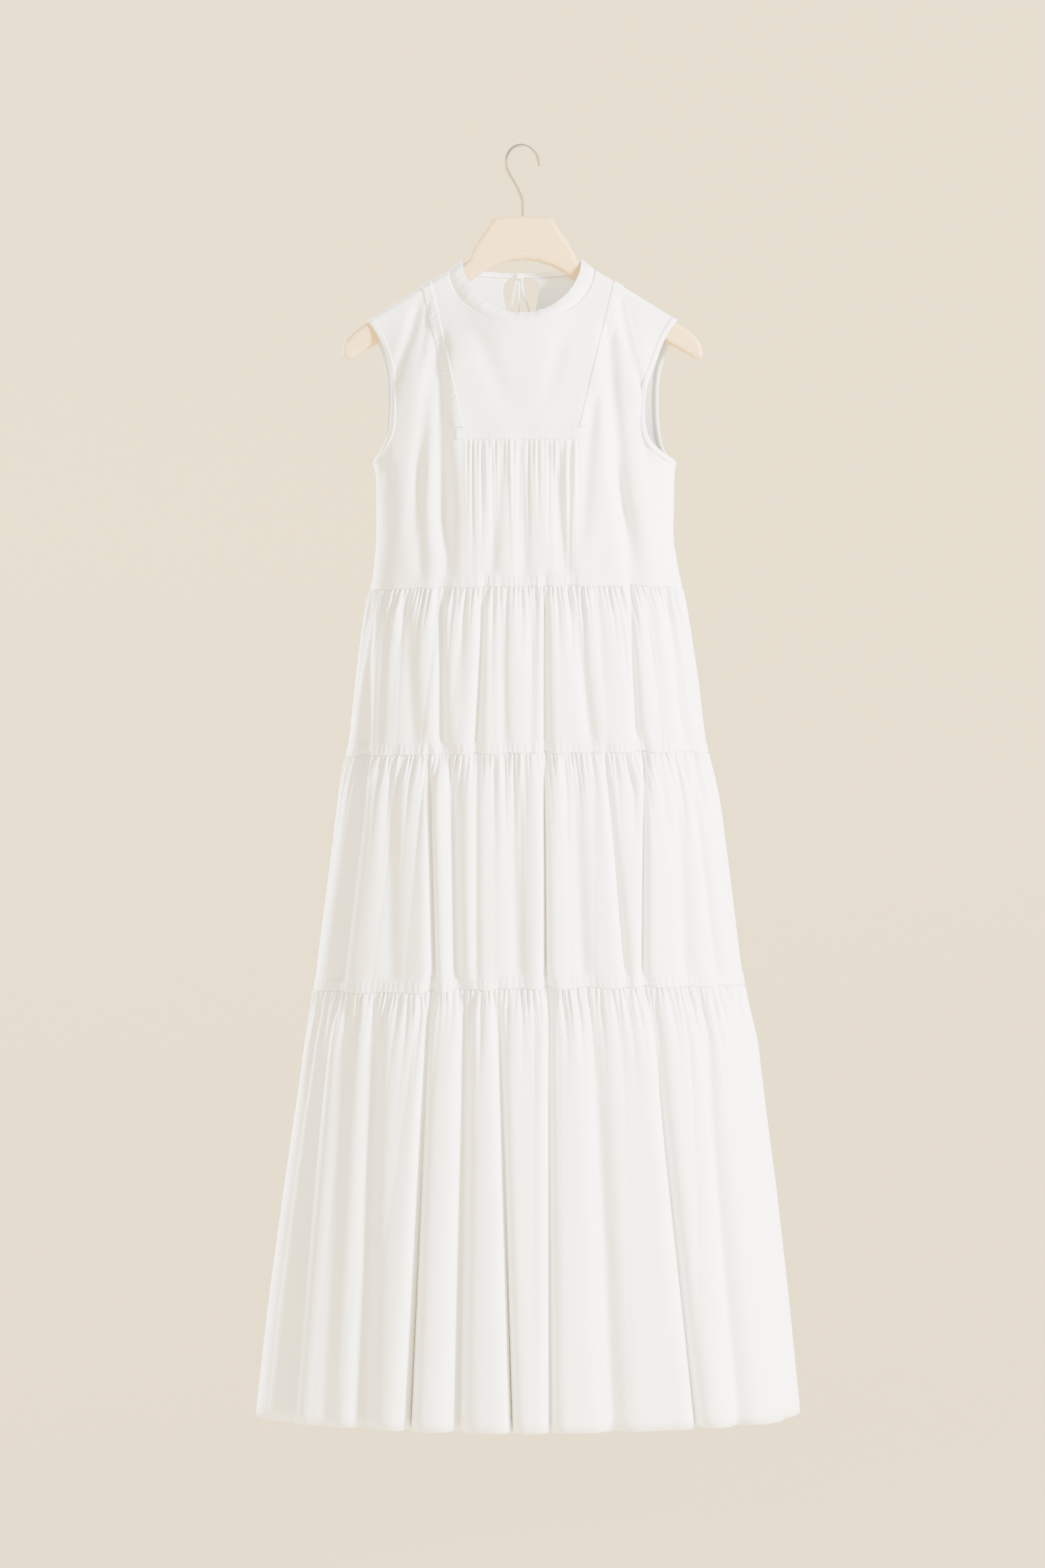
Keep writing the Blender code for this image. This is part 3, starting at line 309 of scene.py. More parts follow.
def smooth_route(points, spacing):
    """Points along a smooth curve through a route's own points, a spacing apart."""
    points = np.asarray(points, dtype=float)
    padded = np.vstack((2 * points[0] - points[1], points, 2 * points[-1] - points[-2]))
    curve = []
    for start in range(len(points) - 1):
        before, first, second, after = padded[start:start + 4]
        for share in np.linspace(0.0, 1.0, ROUTE_STEPS, endpoint=False):
            curve.append(0.5 * (2 * first + (second - before) * share
                                + (2 * before - 5 * first + 4 * second - after) * share ** 2
                                + (3 * first - before - 3 * second + after) * share ** 3))
    curve.append(points[-1])
    curve = np.array(curve)
    length = lengths_along(curve)
    count = max(2, int(round(length[-1] / spacing)) + 1)
    wanted = np.linspace(0.0, length[-1], count)
    return np.stack([np.interp(wanted, length, curve[:, axis]) for axis in range(3)], axis=-1)


def tie_route(places):
    """A tie's own points: down outside the back, from front-view places and drops."""
    route = []
    for x, drop in places:
        height = KNOT_PLACE[2] - TIE_START - drop
        behind = body_at(np.array(x), np.array(height), BACK)[1] + TIE_CLEARANCE
        route.append((x, behind if route else KNOT_PLACE[1], height))
    return route


def loop_route():
    """The bow's loop: down from the knot, round, and back up behind itself."""
    top = KNOT_PLACE[2] - TIE_START
    turn_height = top - LOOP_DROP
    near = body_at(np.array(LOOP_PLACE), np.array(turn_height), BACK)[1] + TIE_CLEARANCE
    middle = (KNOT_PLACE[1] + near) / 2
    down = [(LOOP_PLACE, KNOT_PLACE[1], top),
            (LOOP_PLACE, middle, (2 * top + turn_height) / 3),
            (LOOP_PLACE, near + LOOP_EASE, (top + 2 * turn_height) / 3)]
    turn = [(LOOP_PLACE, near + LOOP_HALF_GAP * (1 - np.cos(angle)),
             turn_height - LOOP_HALF_GAP * np.sin(angle))
            for angle in np.linspace(0.0, np.pi, LOOP_TURN_POINTS)]
    up = [(LOOP_PLACE, near + 2 * LOOP_HALF_GAP - LOOP_TUCK, (top + 2 * turn_height) / 3),
          (LOOP_PLACE, middle + LOOP_HALF_GAP, (2 * top + turn_height) / 3),
          (LOOP_PLACE, KNOT_PLACE[1] + LOOP_END[0], top + LOOP_END[1])]
    return down + turn + up


def strand_mesh(name, grid, faces, strand_uv):
    """A closed mesh from a grid of rings, its faces outward, with a UV map from its grid places."""
    mesh = bpy.data.meshes.new(name)
    mesh.from_pydata(grid.reshape(-1, 3).tolist(), [], faces)
    shape = bmesh.new()
    shape.from_mesh(mesh)
    bmesh.ops.recalc_face_normals(shape, faces=shape.faces[:])
    shape.to_mesh(mesh)
    shape.free()
    layer = mesh.uv_layers.new(name="cloth")
    for loop in mesh.loops:
        layer.data[loop.index].uv = strand_uv(*divmod(loop.vertex_index, grid.shape[1]))
    mesh.shade_smooth()
    mesh.materials.append(FLAT_COTTON)
    return mesh


def cotton_piece(node_name, mesh):
    """The piece that a cloth mesh makes, in place of the node of its name."""
    piece = link(node_name + "_cloth", mesh)
    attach(piece, "root")
    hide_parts(node_name)
    return piece


def soft_tube(node_name, points, radius):
    """A closed tube of cloth along points, with blunt round ends."""
    tangents = np.gradient(points, axis=0)
    tangents /= np.linalg.norm(tangents, axis=1, keepdims=True)
    side = np.cross(tangents, (0.0, 1.0, 0.0))
    side[np.linalg.norm(side, axis=1) < 0.1] = (1.0, 0.0, 0.0)
    side /= np.linalg.norm(side, axis=1, keepdims=True)
    up = np.cross(side, tangents)
    steps = lengths_along(points)
    end = np.minimum(steps, steps[-1] - steps) / radius
    swell = np.sqrt(1 - np.square(1 - np.clip(end + BLUNT_END, 0.0, 1.0)))
    angle = np.linspace(0.0, 2 * np.pi, TUBE_SIDES, endpoint=False)[None, :, None]
    ring = side[:, None] * np.cos(angle) + up[:, None] * np.sin(angle)
    grid = points[:, None] + ring * (radius * swell)[:, None, None]
    index = np.arange(len(points) * TUBE_SIDES).reshape(len(points), TUBE_SIDES)
    beside = np.roll(index, -1, axis=1)
    faces = np.stack((index[:-1], beside[:-1], beside[1:], index[1:]), axis=-1).reshape(-1, 4)
    faces = faces.tolist() + [index[0, ::-1].tolist(), index[-1].tolist()]
    return cotton_piece(node_name, strand_mesh(
        node_name + "_cloth", grid, faces,
        lambda row, column: (column / TUBE_SIDES * 2 * np.pi * radius, steps[row])))


for tie_name, route in (("neck_tie_left", tie_route(LEFT_TIE)),
                        ("neck_tie_right", tie_route(RIGHT_TIE)),
                        ("neck_tie_loop", loop_route())):
    line = smooth_route(route, TIE_STEP)
    tie = soft_tube(tie_name, line, TIE_DIAMETER / 2)
    "object" if tie_name == "neck_tie_loop" else "bare"

knot_share = np.linspace(0.0, 1.0, KNOT_STEPS)
knot_turn = 2 * np.pi * KNOT_TURNS * knot_share
soft_tube("neck_tie_knot", np.stack((
    KNOT_PLACE[0] + (KNOT_SIZE[0] - KNOT_STRAND) * np.cos(knot_turn),
    KNOT_PLACE[1] + (KNOT_SIZE[1] - KNOT_STRAND) * np.sin(knot_turn),
    KNOT_PLACE[2] + (KNOT_SIZE[2] - KNOT_STRAND) * (2 * knot_share - 1) * KNOT_HEIGHT_SHARE),
    axis=-1), KNOT_STRAND * KNOT_SWELL)

# The hanger and its hook
# The hanger is one flat moulding of a beige board with short pale and dark flecks all through
# it. The hook is a bent round wire of bright steel.
FLECK_SIZE = 0.0011
FLECK_STRETCH = (1.0, 1.0, 0.45)
PALE_EDGES = (0.56, 0.66)
DARK_EDGES = (0.30, 0.40)
PEBBLE_SCALE = 190.0
PALE_FLECKS = 0.6
DARK_FLECKS = 0.55
FLECK_RELIEF = 0.00005
PEBBLE_RELIEF = 0.00008
BOARD_SMOOTHEST = 0.42
BOARD_RANGE = 0.2
BOARD = (0.66, 0.455, 0.185, 1.0)
BOARD_PALE = (0.84, 0.65, 0.36, 1.0)
BOARD_DARK = (0.36, 0.20, 0.08, 1.0)
WIRE_DARK = (0.36, 0.35, 0.33, 1.0)
WIRE_BRIGHT = (0.60, 0.58, 0.55, 1.0)
WIRE_WEAR_SCALE = 900.0
WIRE_SMOOTHEST = 0.14
WIRE_RANGE = 0.16


def flecked_board():
    """The moulded board: a base colour with two sets of flecks, and a faint pebbled face."""
    material, build, shader = new_material("moulded_beige")
    place = build.node("ShaderNodeTexCoord", output=3)
    stretch = build.node("ShaderNodeMapping", sockets={"Vector": place, "Scale": FLECK_STRETCH})
    fine = build.node("ShaderNodeTexNoise", sockets={
        "Vector": stretch, "Scale": 1 / FLECK_SIZE, "Detail": 2.0, "Roughness": 0.6})
    coarse = build.node("ShaderNodeTexNoise", sockets={"Vector": place, "Scale": PEBBLE_SCALE,
                                                       "Detail": 3.0})
    clear, full = (0.0, 0.0, 0.0, 1.0), (1.0, 1.0, 1.0, 1.0)
    pale, dark = (build.node("ShaderNodeValToRGB", {"stops": tuple(zip(edges, colours))},
                             {"Fac": fine})
                  for edges, colours in ((PALE_EDGES, (clear, full)), (DARK_EDGES, (full, clear))))
    light = (pale * PALE_FLECKS).mix(BOARD, BOARD_PALE)
    (dark * DARK_FLECKS).mix(light, BOARD_DARK).into(shader, "Base Color")
    (coarse * BOARD_RANGE + BOARD_SMOOTHEST).into(shader, "Roughness")
    (fine * FLECK_RELIEF + coarse * PEBBLE_RELIEF).bump().into(shader, "Normal")
    return material


def steel_wire():
    """Bright drawn wire, a little uneven in its polish."""
    material, build, shader = new_material("steel_wire")
    place = build.node("ShaderNodeTexCoord", output=3)
    wear = build.node("ShaderNodeTexNoise", sockets={"Vector": place, "Scale": WIRE_WEAR_SCALE,
                                                     "Detail": 3.0})
    wear.mix(WIRE_DARK, WIRE_BRIGHT).into(shader, "Base Color")
    (wear * WIRE_RANGE + WIRE_SMOOTHEST).into(shader, "Roughness")
    shader.inputs["Metallic"].default_value = 1.0
    return material


for node_name, finish in (("hanger", flecked_board()), ("hanger_hook", steel_wire())):
    node_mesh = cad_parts[node_name].data
    node_mesh.materials.clear()
    node_mesh.materials.append(finish)

# The skirt's three gathered tiers
# Each tier is a straight strip of cotton, gathered to the edge above it. The gathers are small
# at the seam, run together below it, and end in a few soft folds. The seam's edges are turned up
# and stitched down in a strip above it.
SEAM_PLACES = (0.0, 0.18, 0.5, 0.82, 1.0)
WAIST_SEAM = (-0.5010, -0.5010, -0.4990, -0.4980, -0.4980)
MIDDLE_SEAM = (-0.6870, -0.6870, -0.6846, -0.6830, -0.6830)
LOW_SEAM = (-0.9490, -0.9500, -0.9440, -0.9430, -0.9430)
HEM = (-1.4240, -1.4250, -1.4270, -1.4250, -1.4240)
STRIP_HEIGHT = 0.0120
STRIP_LIFT = 0.0007
STRIP_EDGE = 0.0012
STRIP_FOOT = 0.0025
STRIP_FOOT_SHARE = 0.3
STRIP_FULLNESS = 1.15
STRIP_RIPPLE = 0.00035
TOP_SINK = 0.0004
TOP_SINK_DROP = 0.004
SEAM_BLEND = 0.028
SEAM_DIP = -0.45
STRIP_ROWS = (0.0140, 0.0132, 0.0128, 0.0124, 0.0120, 0.0105, 0.0085, 0.0060, 0.0035, 0.0015, 0.0)
CLOTH_THICKNESS = 0.0005
ROW_CROWDING = 1.5
PUCKER_COLUMNS = 6
PUCKER_WANDER = 1.1
PUCKER_UNEVEN = 0.33
PUCKER_ROUND = 0.75
PUCKER_LEVEL = 1.15
RING_WAVES = 9
GATHER_DRIFT = 6.0
ON_SEAM = 0.001
RIDGE_SHARE = 0.36
RIDGE_SPREAD = 2.3
BACK_FOLD_SHIFT = 0.014
FOLD_FADE = 0.05
# Each fold: its place at the top and the foot, its depth at both, and its half width at both.
BODICE_FOLDS = (
    (-0.117, -0.115, 0.0025, 0.0040, 0.008, 0.009),
    (-0.085, -0.086, 0.0040, 0.0070, 0.010, 0.012),
    (-0.024, -0.036, 0.0025, 0.0030, 0.006, 0.008),
    (0.001, 0.001, 0.0025, 0.0035, 0.006, 0.009),
    (0.032, 0.050, 0.0025, 0.0035, 0.006, 0.010),
    (0.098, 0.128, 0.0045, 0.0075, 0.009, 0.012),
)
SECOND_TIER_FOLDS = (
    (-0.171, -0.178, 0.0040, 0.0060, 0.007, 0.009),
    (-0.153, -0.162, 0.0015, 0.0025, 0.005, 0.006),
    (-0.130, -0.123, 0.0025, 0.0040, 0.009, 0.012),
    (-0.092, -0.092, 0.0055, 0.0100, 0.007, 0.009),
    (-0.043, -0.053, 0.0060, 0.0090, 0.005, 0.008),
    (-0.024, -0.020, 0.0020, 0.0030, 0.005, 0.007),
    (0.011, 0.011, 0.0025, 0.0035, 0.007, 0.010),
    (0.0255, 0.027, 0.0055, 0.0090, 0.005, 0.008),
    (0.057, 0.079, 0.0035, 0.0060, 0.007, 0.010),
    (0.1215, 0.132, 0.0060, 0.0090, 0.005, 0.008),
    (0.160, 0.1855, 0.0040, 0.0060, 0.006, 0.008),
)
THIRD_TIER_FOLDS = (
    (-0.178, -0.211, 0.0045, 0.0075, 0.008, 0.011),
    (-0.148, -0.150, 0.0025, 0.0045, 0.010, 0.014),
    (-0.106, -0.101, 0.0075, 0.0125, 0.005, 0.007),
    (-0.080, -0.075, 0.0055, 0.0105, 0.009, 0.012),
    (-0.053, -0.051, 0.0025, 0.0035, 0.005, 0.006),
    (-0.014, -0.006, 0.0030, 0.0055, 0.009, 0.013),
    (0.025, 0.0266, 0.0070, 0.0120, 0.005, 0.007),
    (0.057, 0.069, 0.0035, 0.0060, 0.009, 0.013),
    (0.0945, 0.118, 0.0045, 0.0075, 0.006, 0.008),
    (0.1386, 0.137, 0.0065, 0.0100, 0.005, 0.007),
    (0.176, 0.186, 0.0030, 0.0050, 0.009, 0.011),
    (0.190, 0.223, 0.0040, 0.0065, 0.006, 0.008),
)
BOTTOM_TIER_FOLDS = (
    (-0.221, -0.267, 0.0045, 0.0100, 0.009, 0.013),
    (-0.196, -0.225, 0.0030, 0.0060, 0.011, 0.015),
    (-0.166, -0.182, 0.0055, 0.0150, 0.011, 0.017),
    (-0.106, -0.129, 0.0070, 0.0210, 0.007, 0.012),
    (-0.064, -0.074, 0.0065, 0.0180, 0.011, 0.015),
    (-0.027, -0.012, 0.0050, 0.0185, 0.007, 0.010),
    (0.030, 0.032, 0.0055, 0.0130, 0.007, 0.010),
    (0.079, 0.103, 0.0050, 0.0110, 0.012, 0.018),
    (0.144, 0.199, 0.0055, 0.0170, 0.008, 0.012),
    (0.200, 0.247, 0.0030, 0.0095, 0.009, 0.014),
    (0.239, 0.303, 0.0035, 0.0070, 0.009, 0.012),
)
PUCKER_SIZES = (
    dict(pitch=0.0046, height=0.0008, drops=(0.0, 0.001, 0.007, 0.018),
         shares=(0.80, 1.0, 0.55, 0.0)),
    dict(pitch=0.0068, height=0.0014, drops=(0.0, 0.003, 0.012, 0.028, 0.055),
         shares=(0.50, 1.0, 0.70, 0.25, 0.0)),
    dict(pitch=0.0150, height=0.0018, drops=(0.0, 0.006, 0.020, 0.045, 0.090, 0.170),
         shares=(0.15, 0.65, 1.0, 0.55, 0.12, 0.0)),
    dict(pitch=0.0350, height=0.0013, drops=(0.0, 0.030, 0.070, 0.140, 0.480),
         shares=(0.0, 0.55, 1.0, 0.45, 0.30)),
)
TIERS = (
    dict(name="second_tier", top=WAIST_SEAM, foot=MIDDLE_SEAM, above=BODICE_FOLDS,
         folds=SECOND_TIER_FOLDS, below=THIRD_TIER_FOLDS, puckers=(84, 66), rows=40, seed=11,
         round_length=0.86, cut=(0.50, 0.20), pinch=0.45),
    dict(name="third_tier", top=MIDDLE_SEAM, foot=LOW_SEAM, above=SECOND_TIER_FOLDS,
         folds=THIRD_TIER_FOLDS, below=BOTTOM_TIER_FOLDS, puckers=(98, 78), rows=44, seed=23,
         round_length=1.02, cut=(0.62, 0.28), pinch=0.50),
    dict(name="bottom_tier", top=LOW_SEAM, foot=HEM, above=THIRD_TIER_FOLDS,
         folds=BOTTOM_TIER_FOLDS, below=BOTTOM_TIER_FOLDS, puckers=(112, 90), rows=56, seed=37,
         round_length=1.24, cut=(0.80, 0.50), pinch=0.55),
)


def row_arc(height, side):
    """Angles round a row, with the length along it at each, measured from its left."""
    fine = np.linspace(-FULL_SIDE, FULL_SIDE, ARC_SAMPLES)
    points = body(fine, np.full(ARC_SAMPLES, height), side)
    return fine, lengths_along(points[:, :2])


def row_angles(height, side, shares):
    """Angles that stand at the given shares of a row's length."""
    fine, length = row_arc(height, side)
    return np.interp(shares * length[-1], length, fine)


def seam_height(seam, share):
    """A seam's height at a share of the way from its left side to its right."""
    places, heights = np.array(SEAM_PLACES), np.array(seam)
    index = np.clip(np.searchsorted(places, share, side="right") - 1, 0, len(places) - 2)
    start, end = places[index], places[index + 1]
    low, high = heights[index], heights[index + 1]
    return low + (high - low) * ease((share - start) / (end - start))


def fold_moves(points, share, folds, side):
    """How far the folds push the cloth out, and slide it sideways to close their valleys."""
    x = points[..., 0]
    nearness = 1 - np.abs(points[..., 1]) / VIEW_DISTANCE
    push, slide = np.zeros_like(x), np.zeros_like(x)
    for top, foot, top_depth, foot_depth, top_width, foot_width in folds:
        place = (top + (foot - top) * share) * nearness
        if side == BACK:
            place = BACK_FOLD_SHIFT - place
        depth = top_depth + (foot_depth - top_depth) * share
        width = top_width + (foot_width - top_width) * share
        away = (x - place) / width
        valley = (1 + RIDGE_SHARE) * np.exp(-np.square(away))
        ridge = RIDGE_SHARE * np.exp(-np.square(away / RIDGE_SPREAD))
        push += depth * (ridge - valley)
        slide -= depth * away * np.exp(-0.5 * np.square(away))
    return push, slide


def ring_noise(turns, lowest, highest, seed):
    """An even, wandering value round the dress, the same on both sides of a side seam."""
    random = np.random.default_rng(seed)
    total = np.zeros_like(turns)
    waves = np.unique(np.linspace(lowest, highest, RING_WAVES).astype(int))
    for wave in waves:
        total += np.cos(math.pi * wave * turns + random.uniform(0.0, 2 * math.pi))
    return total / math.sqrt(len(waves) / 2)


def puckers(turns, count, seed, drift=0.0):
    """Round crests and narrow creases, uneven in width and height, between -1 and 1."""
    phase = (math.pi * count * turns + drift
             + PUCKER_WANDER * ring_noise(turns, count // 14 + 1, count // 5 + 2, seed))
    height = 1 + PUCKER_UNEVEN * ring_noise(turns, count // 10 + 1, count // 4 + 2, seed + 1)
    return height * (2 * np.power(np.abs(np.sin(phase / 2)), PUCKER_ROUND) - PUCKER_LEVEL)


def level_frames(grid, side):
    """Outward and sideways directions at each point, in its row's own level plane."""
    before = np.where(np.abs(grid[:, :1, 1:2]) < ON_SEAM, grid[:, :1] * (1, -1, 1),
                      2 * grid[:, :1] - grid[:, 1:2])
    after = np.where(np.abs(grid[:, -1:, 1:2]) < ON_SEAM, grid[:, -1:] * (1, -1, 1),
                     2 * grid[:, -1:] - grid[:, -2:-1])
    line = np.concatenate((before, grid, after), axis=1)
    sideways = line[:, 2:] - line[:, :-2]
    sideways[..., 2] = 0.0
    sideways /= np.maximum(np.linalg.norm(sideways, axis=-1, keepdims=True), 1e-9)
    outward = np.stack((sideways[..., 1], -sideways[..., 0], sideways[..., 2]), axis=-1)
    return outward * -side, sideways


def gather_push(turns, drop, lengths, seed):
    """The gathers below a seam, from small puckers to soft folds, by the drop below it."""
    total = np.zeros_like(drop)
    for order, size in enumerate(PUCKER_SIZES):
        count = 2 * round(lengths / size["pitch"] / 2)
        drift = GATHER_DRIFT * drop * ring_noise(turns, 2, 9, seed + 50 + order)
        wave = puckers(turns, count, seed + 10 * order, drift)
        total += size["height"] * np.interp(drop, size["drops"], size["shares"]) * wave
    return total


def strip_push(turns, above, round_length, seed):
    """How far the stitched strip over a seam stands off, drawn into small puckers."""
    strip = (ease((STRIP_HEIGHT + STRIP_EDGE - above) / STRIP_EDGE)
             * (STRIP_FOOT_SHARE + (1 - STRIP_FOOT_SHARE) * ease(above / STRIP_FOOT)))
    count = 2 * round(round_length / PUCKER_SIZES[1]["pitch"] / 2)
    return strip * (STRIP_LIFT + STRIP_RIPPLE * puckers(turns, count, seed))


def rows_to_strip(down, length):
    """Shares down a piece, with close rows in the stitched strip at its foot."""
    down = down[down < 1 - (STRIP_HEIGHT + 3 * STRIP_EDGE) / length]
    return np.concatenate((down, 1 - np.array(STRIP_ROWS) / length))


def seam_push(base, above, below, side):
    """The push at a seam, half way between the folds that end there and those that start."""
    ending, _ = fold_moves(base, 1.0, above, side)
    starting, _ = fold_moves(base, 0.0, below, side)
    return 0.5 * (ending + starting)


def cloth_piece(node_name, grid, side, material, uv=None, thickness=CLOTH_THICKNESS, keep=None,
                weld=False):
    """A cloth from a grid of points, its faces outward, with a UV map in metres and its wall."""
    rows, columns = grid.shape[:2]
    index = np.arange(rows * columns).reshape(rows, columns)
    corners = np.stack((index[:-1, :-1], index[1:, :-1], index[1:, 1:], index[:-1, 1:]), axis=-1)
    if side == BACK:
        corners = corners[..., ::-1]
    faces = corners.reshape(-1, 4) if keep is None else corners[keep]
    used, faces = np.unique(faces, return_inverse=True)
    faces = faces.reshape(-1, 4)
    if uv is None:
        uv = np.stack((grid[..., 0], -grid[..., 2]), axis=-1)
    mesh = bpy.data.meshes.new(node_name)
    mesh.from_pydata(grid.reshape(-1, 3)[used].tolist(), [], faces.tolist())
    layer = mesh.uv_layers.new(name="cloth")
    layer.data.foreach_set("uv", uv.reshape(-1, 2)[used][faces.reshape(-1)].ravel())
    mesh.shade_smooth()
    if weld:
        shape = bmesh.new()
        shape.from_mesh(mesh)
        bmesh.ops.remove_doubles(shape, verts=shape.verts[:], dist=1e-6)
        shape.to_mesh(mesh)
        shape.free()
    mesh.materials.append(material)
    piece = cotton_piece(node_name, mesh)
    wall = piece.modifiers.new("thickness", "SOLIDIFY")
    wall.thickness = thickness
    wall.offset = -1.0
    return piece


def tier_cloth(tier, side):
    """One half of a tier, as a grid of points with their UV places."""
    is_hem = tier["foot"] is HEM
    columns = tier["puckers"][0 if side == FRONT else 1] * PUCKER_COLUMNS
    share = np.linspace(0.0, 1.0, columns + 1)
    top, foot = seam_height(tier["top"], share), seam_height(tier["foot"], share)
    down = np.linspace(0.0, 1.0, tier["rows"] + 1) ** ROW_CROWDING
    if not is_hem:
        down = rows_to_strip(down, float(np.mean(top - foot)))
    heights = top + (foot - top) * down[:, None]
    angles = np.array([row_angles(height, side, share) for height in heights.mean(axis=1)])
    base = body(angles, heights, side)
    drop, above = top - heights, heights - foot
    turns = np.broadcast_to(share if side == FRONT else -share, drop.shape)
    push, slide = fold_moves(base, down[:, None], tier["folds"], side)
    at_top = 1 - ease(drop / SEAM_BLEND)
    shared = seam_push(base, tier["above"], tier["folds"], side)
    push = push + (shared - push) * at_top
    dip = SEAM_DIP * shared * at_top
    if not is_hem:
        at_foot = 1 - ease(above / SEAM_BLEND)
        shared = seam_push(base, tier["folds"], tier["below"], side)
        push = push + (shared - push) * at_foot
        dip = dip + SEAM_DIP * shared * at_foot
        slide = slide * (1 - at_foot)
    slide = slide * tier["pinch"] * (1 - at_top)
    fade = ease(np.minimum(share, 1 - share) / FOLD_FADE)
    push, slide = push * fade, slide * fade
    push = push + gather_push(turns, drop, tier["round_length"], tier["seed"])
    push = push - TOP_SINK * (1 - ease(drop / TOP_SINK_DROP))
    if not is_hem:
        push = push + strip_push(turns, above, tier["round_length"] * STRIP_FULLNESS,
                                 tier["seed"] + 7)
    outward, sideways = level_frames(base, side)
    grid = base + outward * push[..., None] + sideways * slide[..., None]
    grid[..., 2] += dip * fade
    return grid, np.stack(np.broadcast_arrays(share * tier["cut"][0], drop), axis=-1)


stitch_lines = []
tier_grids = {}
for tier in TIERS:
    for side, half in ((FRONT, "_front"), (BACK, "_back")):
        grid, uv = tier_cloth(tier, side)
        piece = cloth_piece(tier["name"] + half, grid, side, SKIRT_COTTON, uv)
        tier_grids[tier["name"] + half] = grid

# The front of the bodice
# The front body is one piece round the bib: two sides up to the shoulders, joined under the bib,
# where it is gathered to the bib's lower band and falls free to the waist seam.
NECK_CENTRE = -0.001
NECK_HALF_WIDTH = 0.0815
FRONT_NECK_DROP = 0.0640
BACK_NECK_DROP = 0.0080
BIB_JOINT_TOP = 0.108
BIB_JOINT_LEFT = -0.0685
BIB_JOINT_RIGHT = 0.0660
BIB_JOINT_HEIGHT = -0.3280
BIB_BAND_TOP = -0.3206
BIB_BAND_FOOT = -0.3350
UNDERARM = -0.3555
LEFT_FRONT_ARMHOLE = ((-0.1740, -0.1950), (-0.1580, -0.2240), (-0.1480, -0.2600),
                      (-0.1468, -0.2990), (-0.1490, -0.3230), (-0.1535, -0.3340),
                      (-0.1600, -0.3455), (-0.1642, -0.3515), (-0.1672, -0.3546),
                      (-0.1680, UNDERARM))
RIGHT_FRONT_ARMHOLE = ((0.1740, -0.1950), (0.1600, -0.2170), (0.1500, -0.2420),
                       (0.1395, -0.2730), (0.1365, -0.2970), (0.1375, -0.3180),
                       (0.1430, -0.3340), (0.1550, -0.3455), (0.1650, -0.3515),
                       (0.1712, -0.3546), (0.1730, UNDERARM))
EDGE_STEP = 0.002
STRAP_COLUMNS = 26
BIB_GATHERS = 22
CALM_HALF = 0.062
GATHER_UNEVEN = 0.4
GATHER_LENGTHS = (0.45, 1.35)
GATHER_NOISE = (5, 19, 87)
GATHER_TUCK = 0.001
GATHER_EDGE = 0.06
# Each wave: its height, its crests to a gather, its seed, and how much is left at some drops.
GATHER_WAVES = (
    (0.0013, 2, 83, (0.0, 0.006, 0.03, 0.085), (0.5, 1.0, 0.6, 0.0)),
    (0.0017, 1, 85, (0.0, 0.012, 0.035, 0.12), (0.0, 0.7, 1.0, 0.0)),
)
WAIST_ROUND = 0.86
WAIST_SEED = 71
WAIST_SETTLE = 0.06
FOLD_START = 0.3
BODICE_PINCH = 0.3
UPPER_ROWS = np.linspace(0.0, 1.0, 37) ** ROW_CROWDING
CHEST_ROWS = 12
WAIST_ROWS = 44
# Each crease: its depth, its half width, and the places that it runs through, downwards.
FRONT_CREASES = (
    (0.0034, 0.006, (-0.1130, -0.160), (-0.1240, -0.205), (-0.1437, -0.268), (-0.1500, -0.310)),
    (0.0016, 0.003, (-0.1040, -0.160), (-0.1100, -0.215), (-0.1210, -0.280)),
    (0.0066, 0.010, (-0.0935, -0.200), (-0.0905, -0.310), (-0.0888, -0.480)),
    (0.0034, 0.008, (-0.1003, -0.230), (-0.1090, -0.305), (-0.1206, -0.406), (-0.1278, -0.480)),
    (0.0030, 0.004, (-0.1500, -0.330), (-0.1585, -0.377), (-0.1620, -0.470)),
    (0.0018, 0.003, (-0.1440, -0.345), (-0.1500, -0.400), (-0.1530, -0.460)),
    (0.0032, 0.005, (0.1063, -0.160), (0.1193, -0.227), (0.1345, -0.279), (0.1320, -0.345)),
    (0.0014, 0.003, (0.1150, -0.160), (0.1280, -0.215), (0.1400, -0.260)),
    (0.0064, 0.009, (0.0933, -0.195), (0.1020, -0.302), (0.1121, -0.392), (0.1280, -0.480)),
    (0.0036, 0.008, (0.0810, -0.270), (0.0702, -0.378), (0.0658, -0.480)),
    (0.0034, 0.004, (0.1330, -0.320), (0.1440, -0.378), (0.1560, -0.450), (0.1620, -0.480)),
    (0.0026, 0.003, (0.1400, -0.335), (0.1530, -0.378), (0.1640, -0.450)),
    (0.0022, 0.012, (-0.0560, -0.200), (-0.0281, -0.273), (-0.0085, -0.325)),
    (0.0018, 0.010, (0.0480, -0.205), (0.0268, -0.290), (0.0160, -0.325)),
    (0.0012, 0.004, (-0.0300, -0.285), (-0.0180, -0.322)),
    (0.0012, 0.004, (0.0400, -0.280), (0.0300, -0.322)),
)
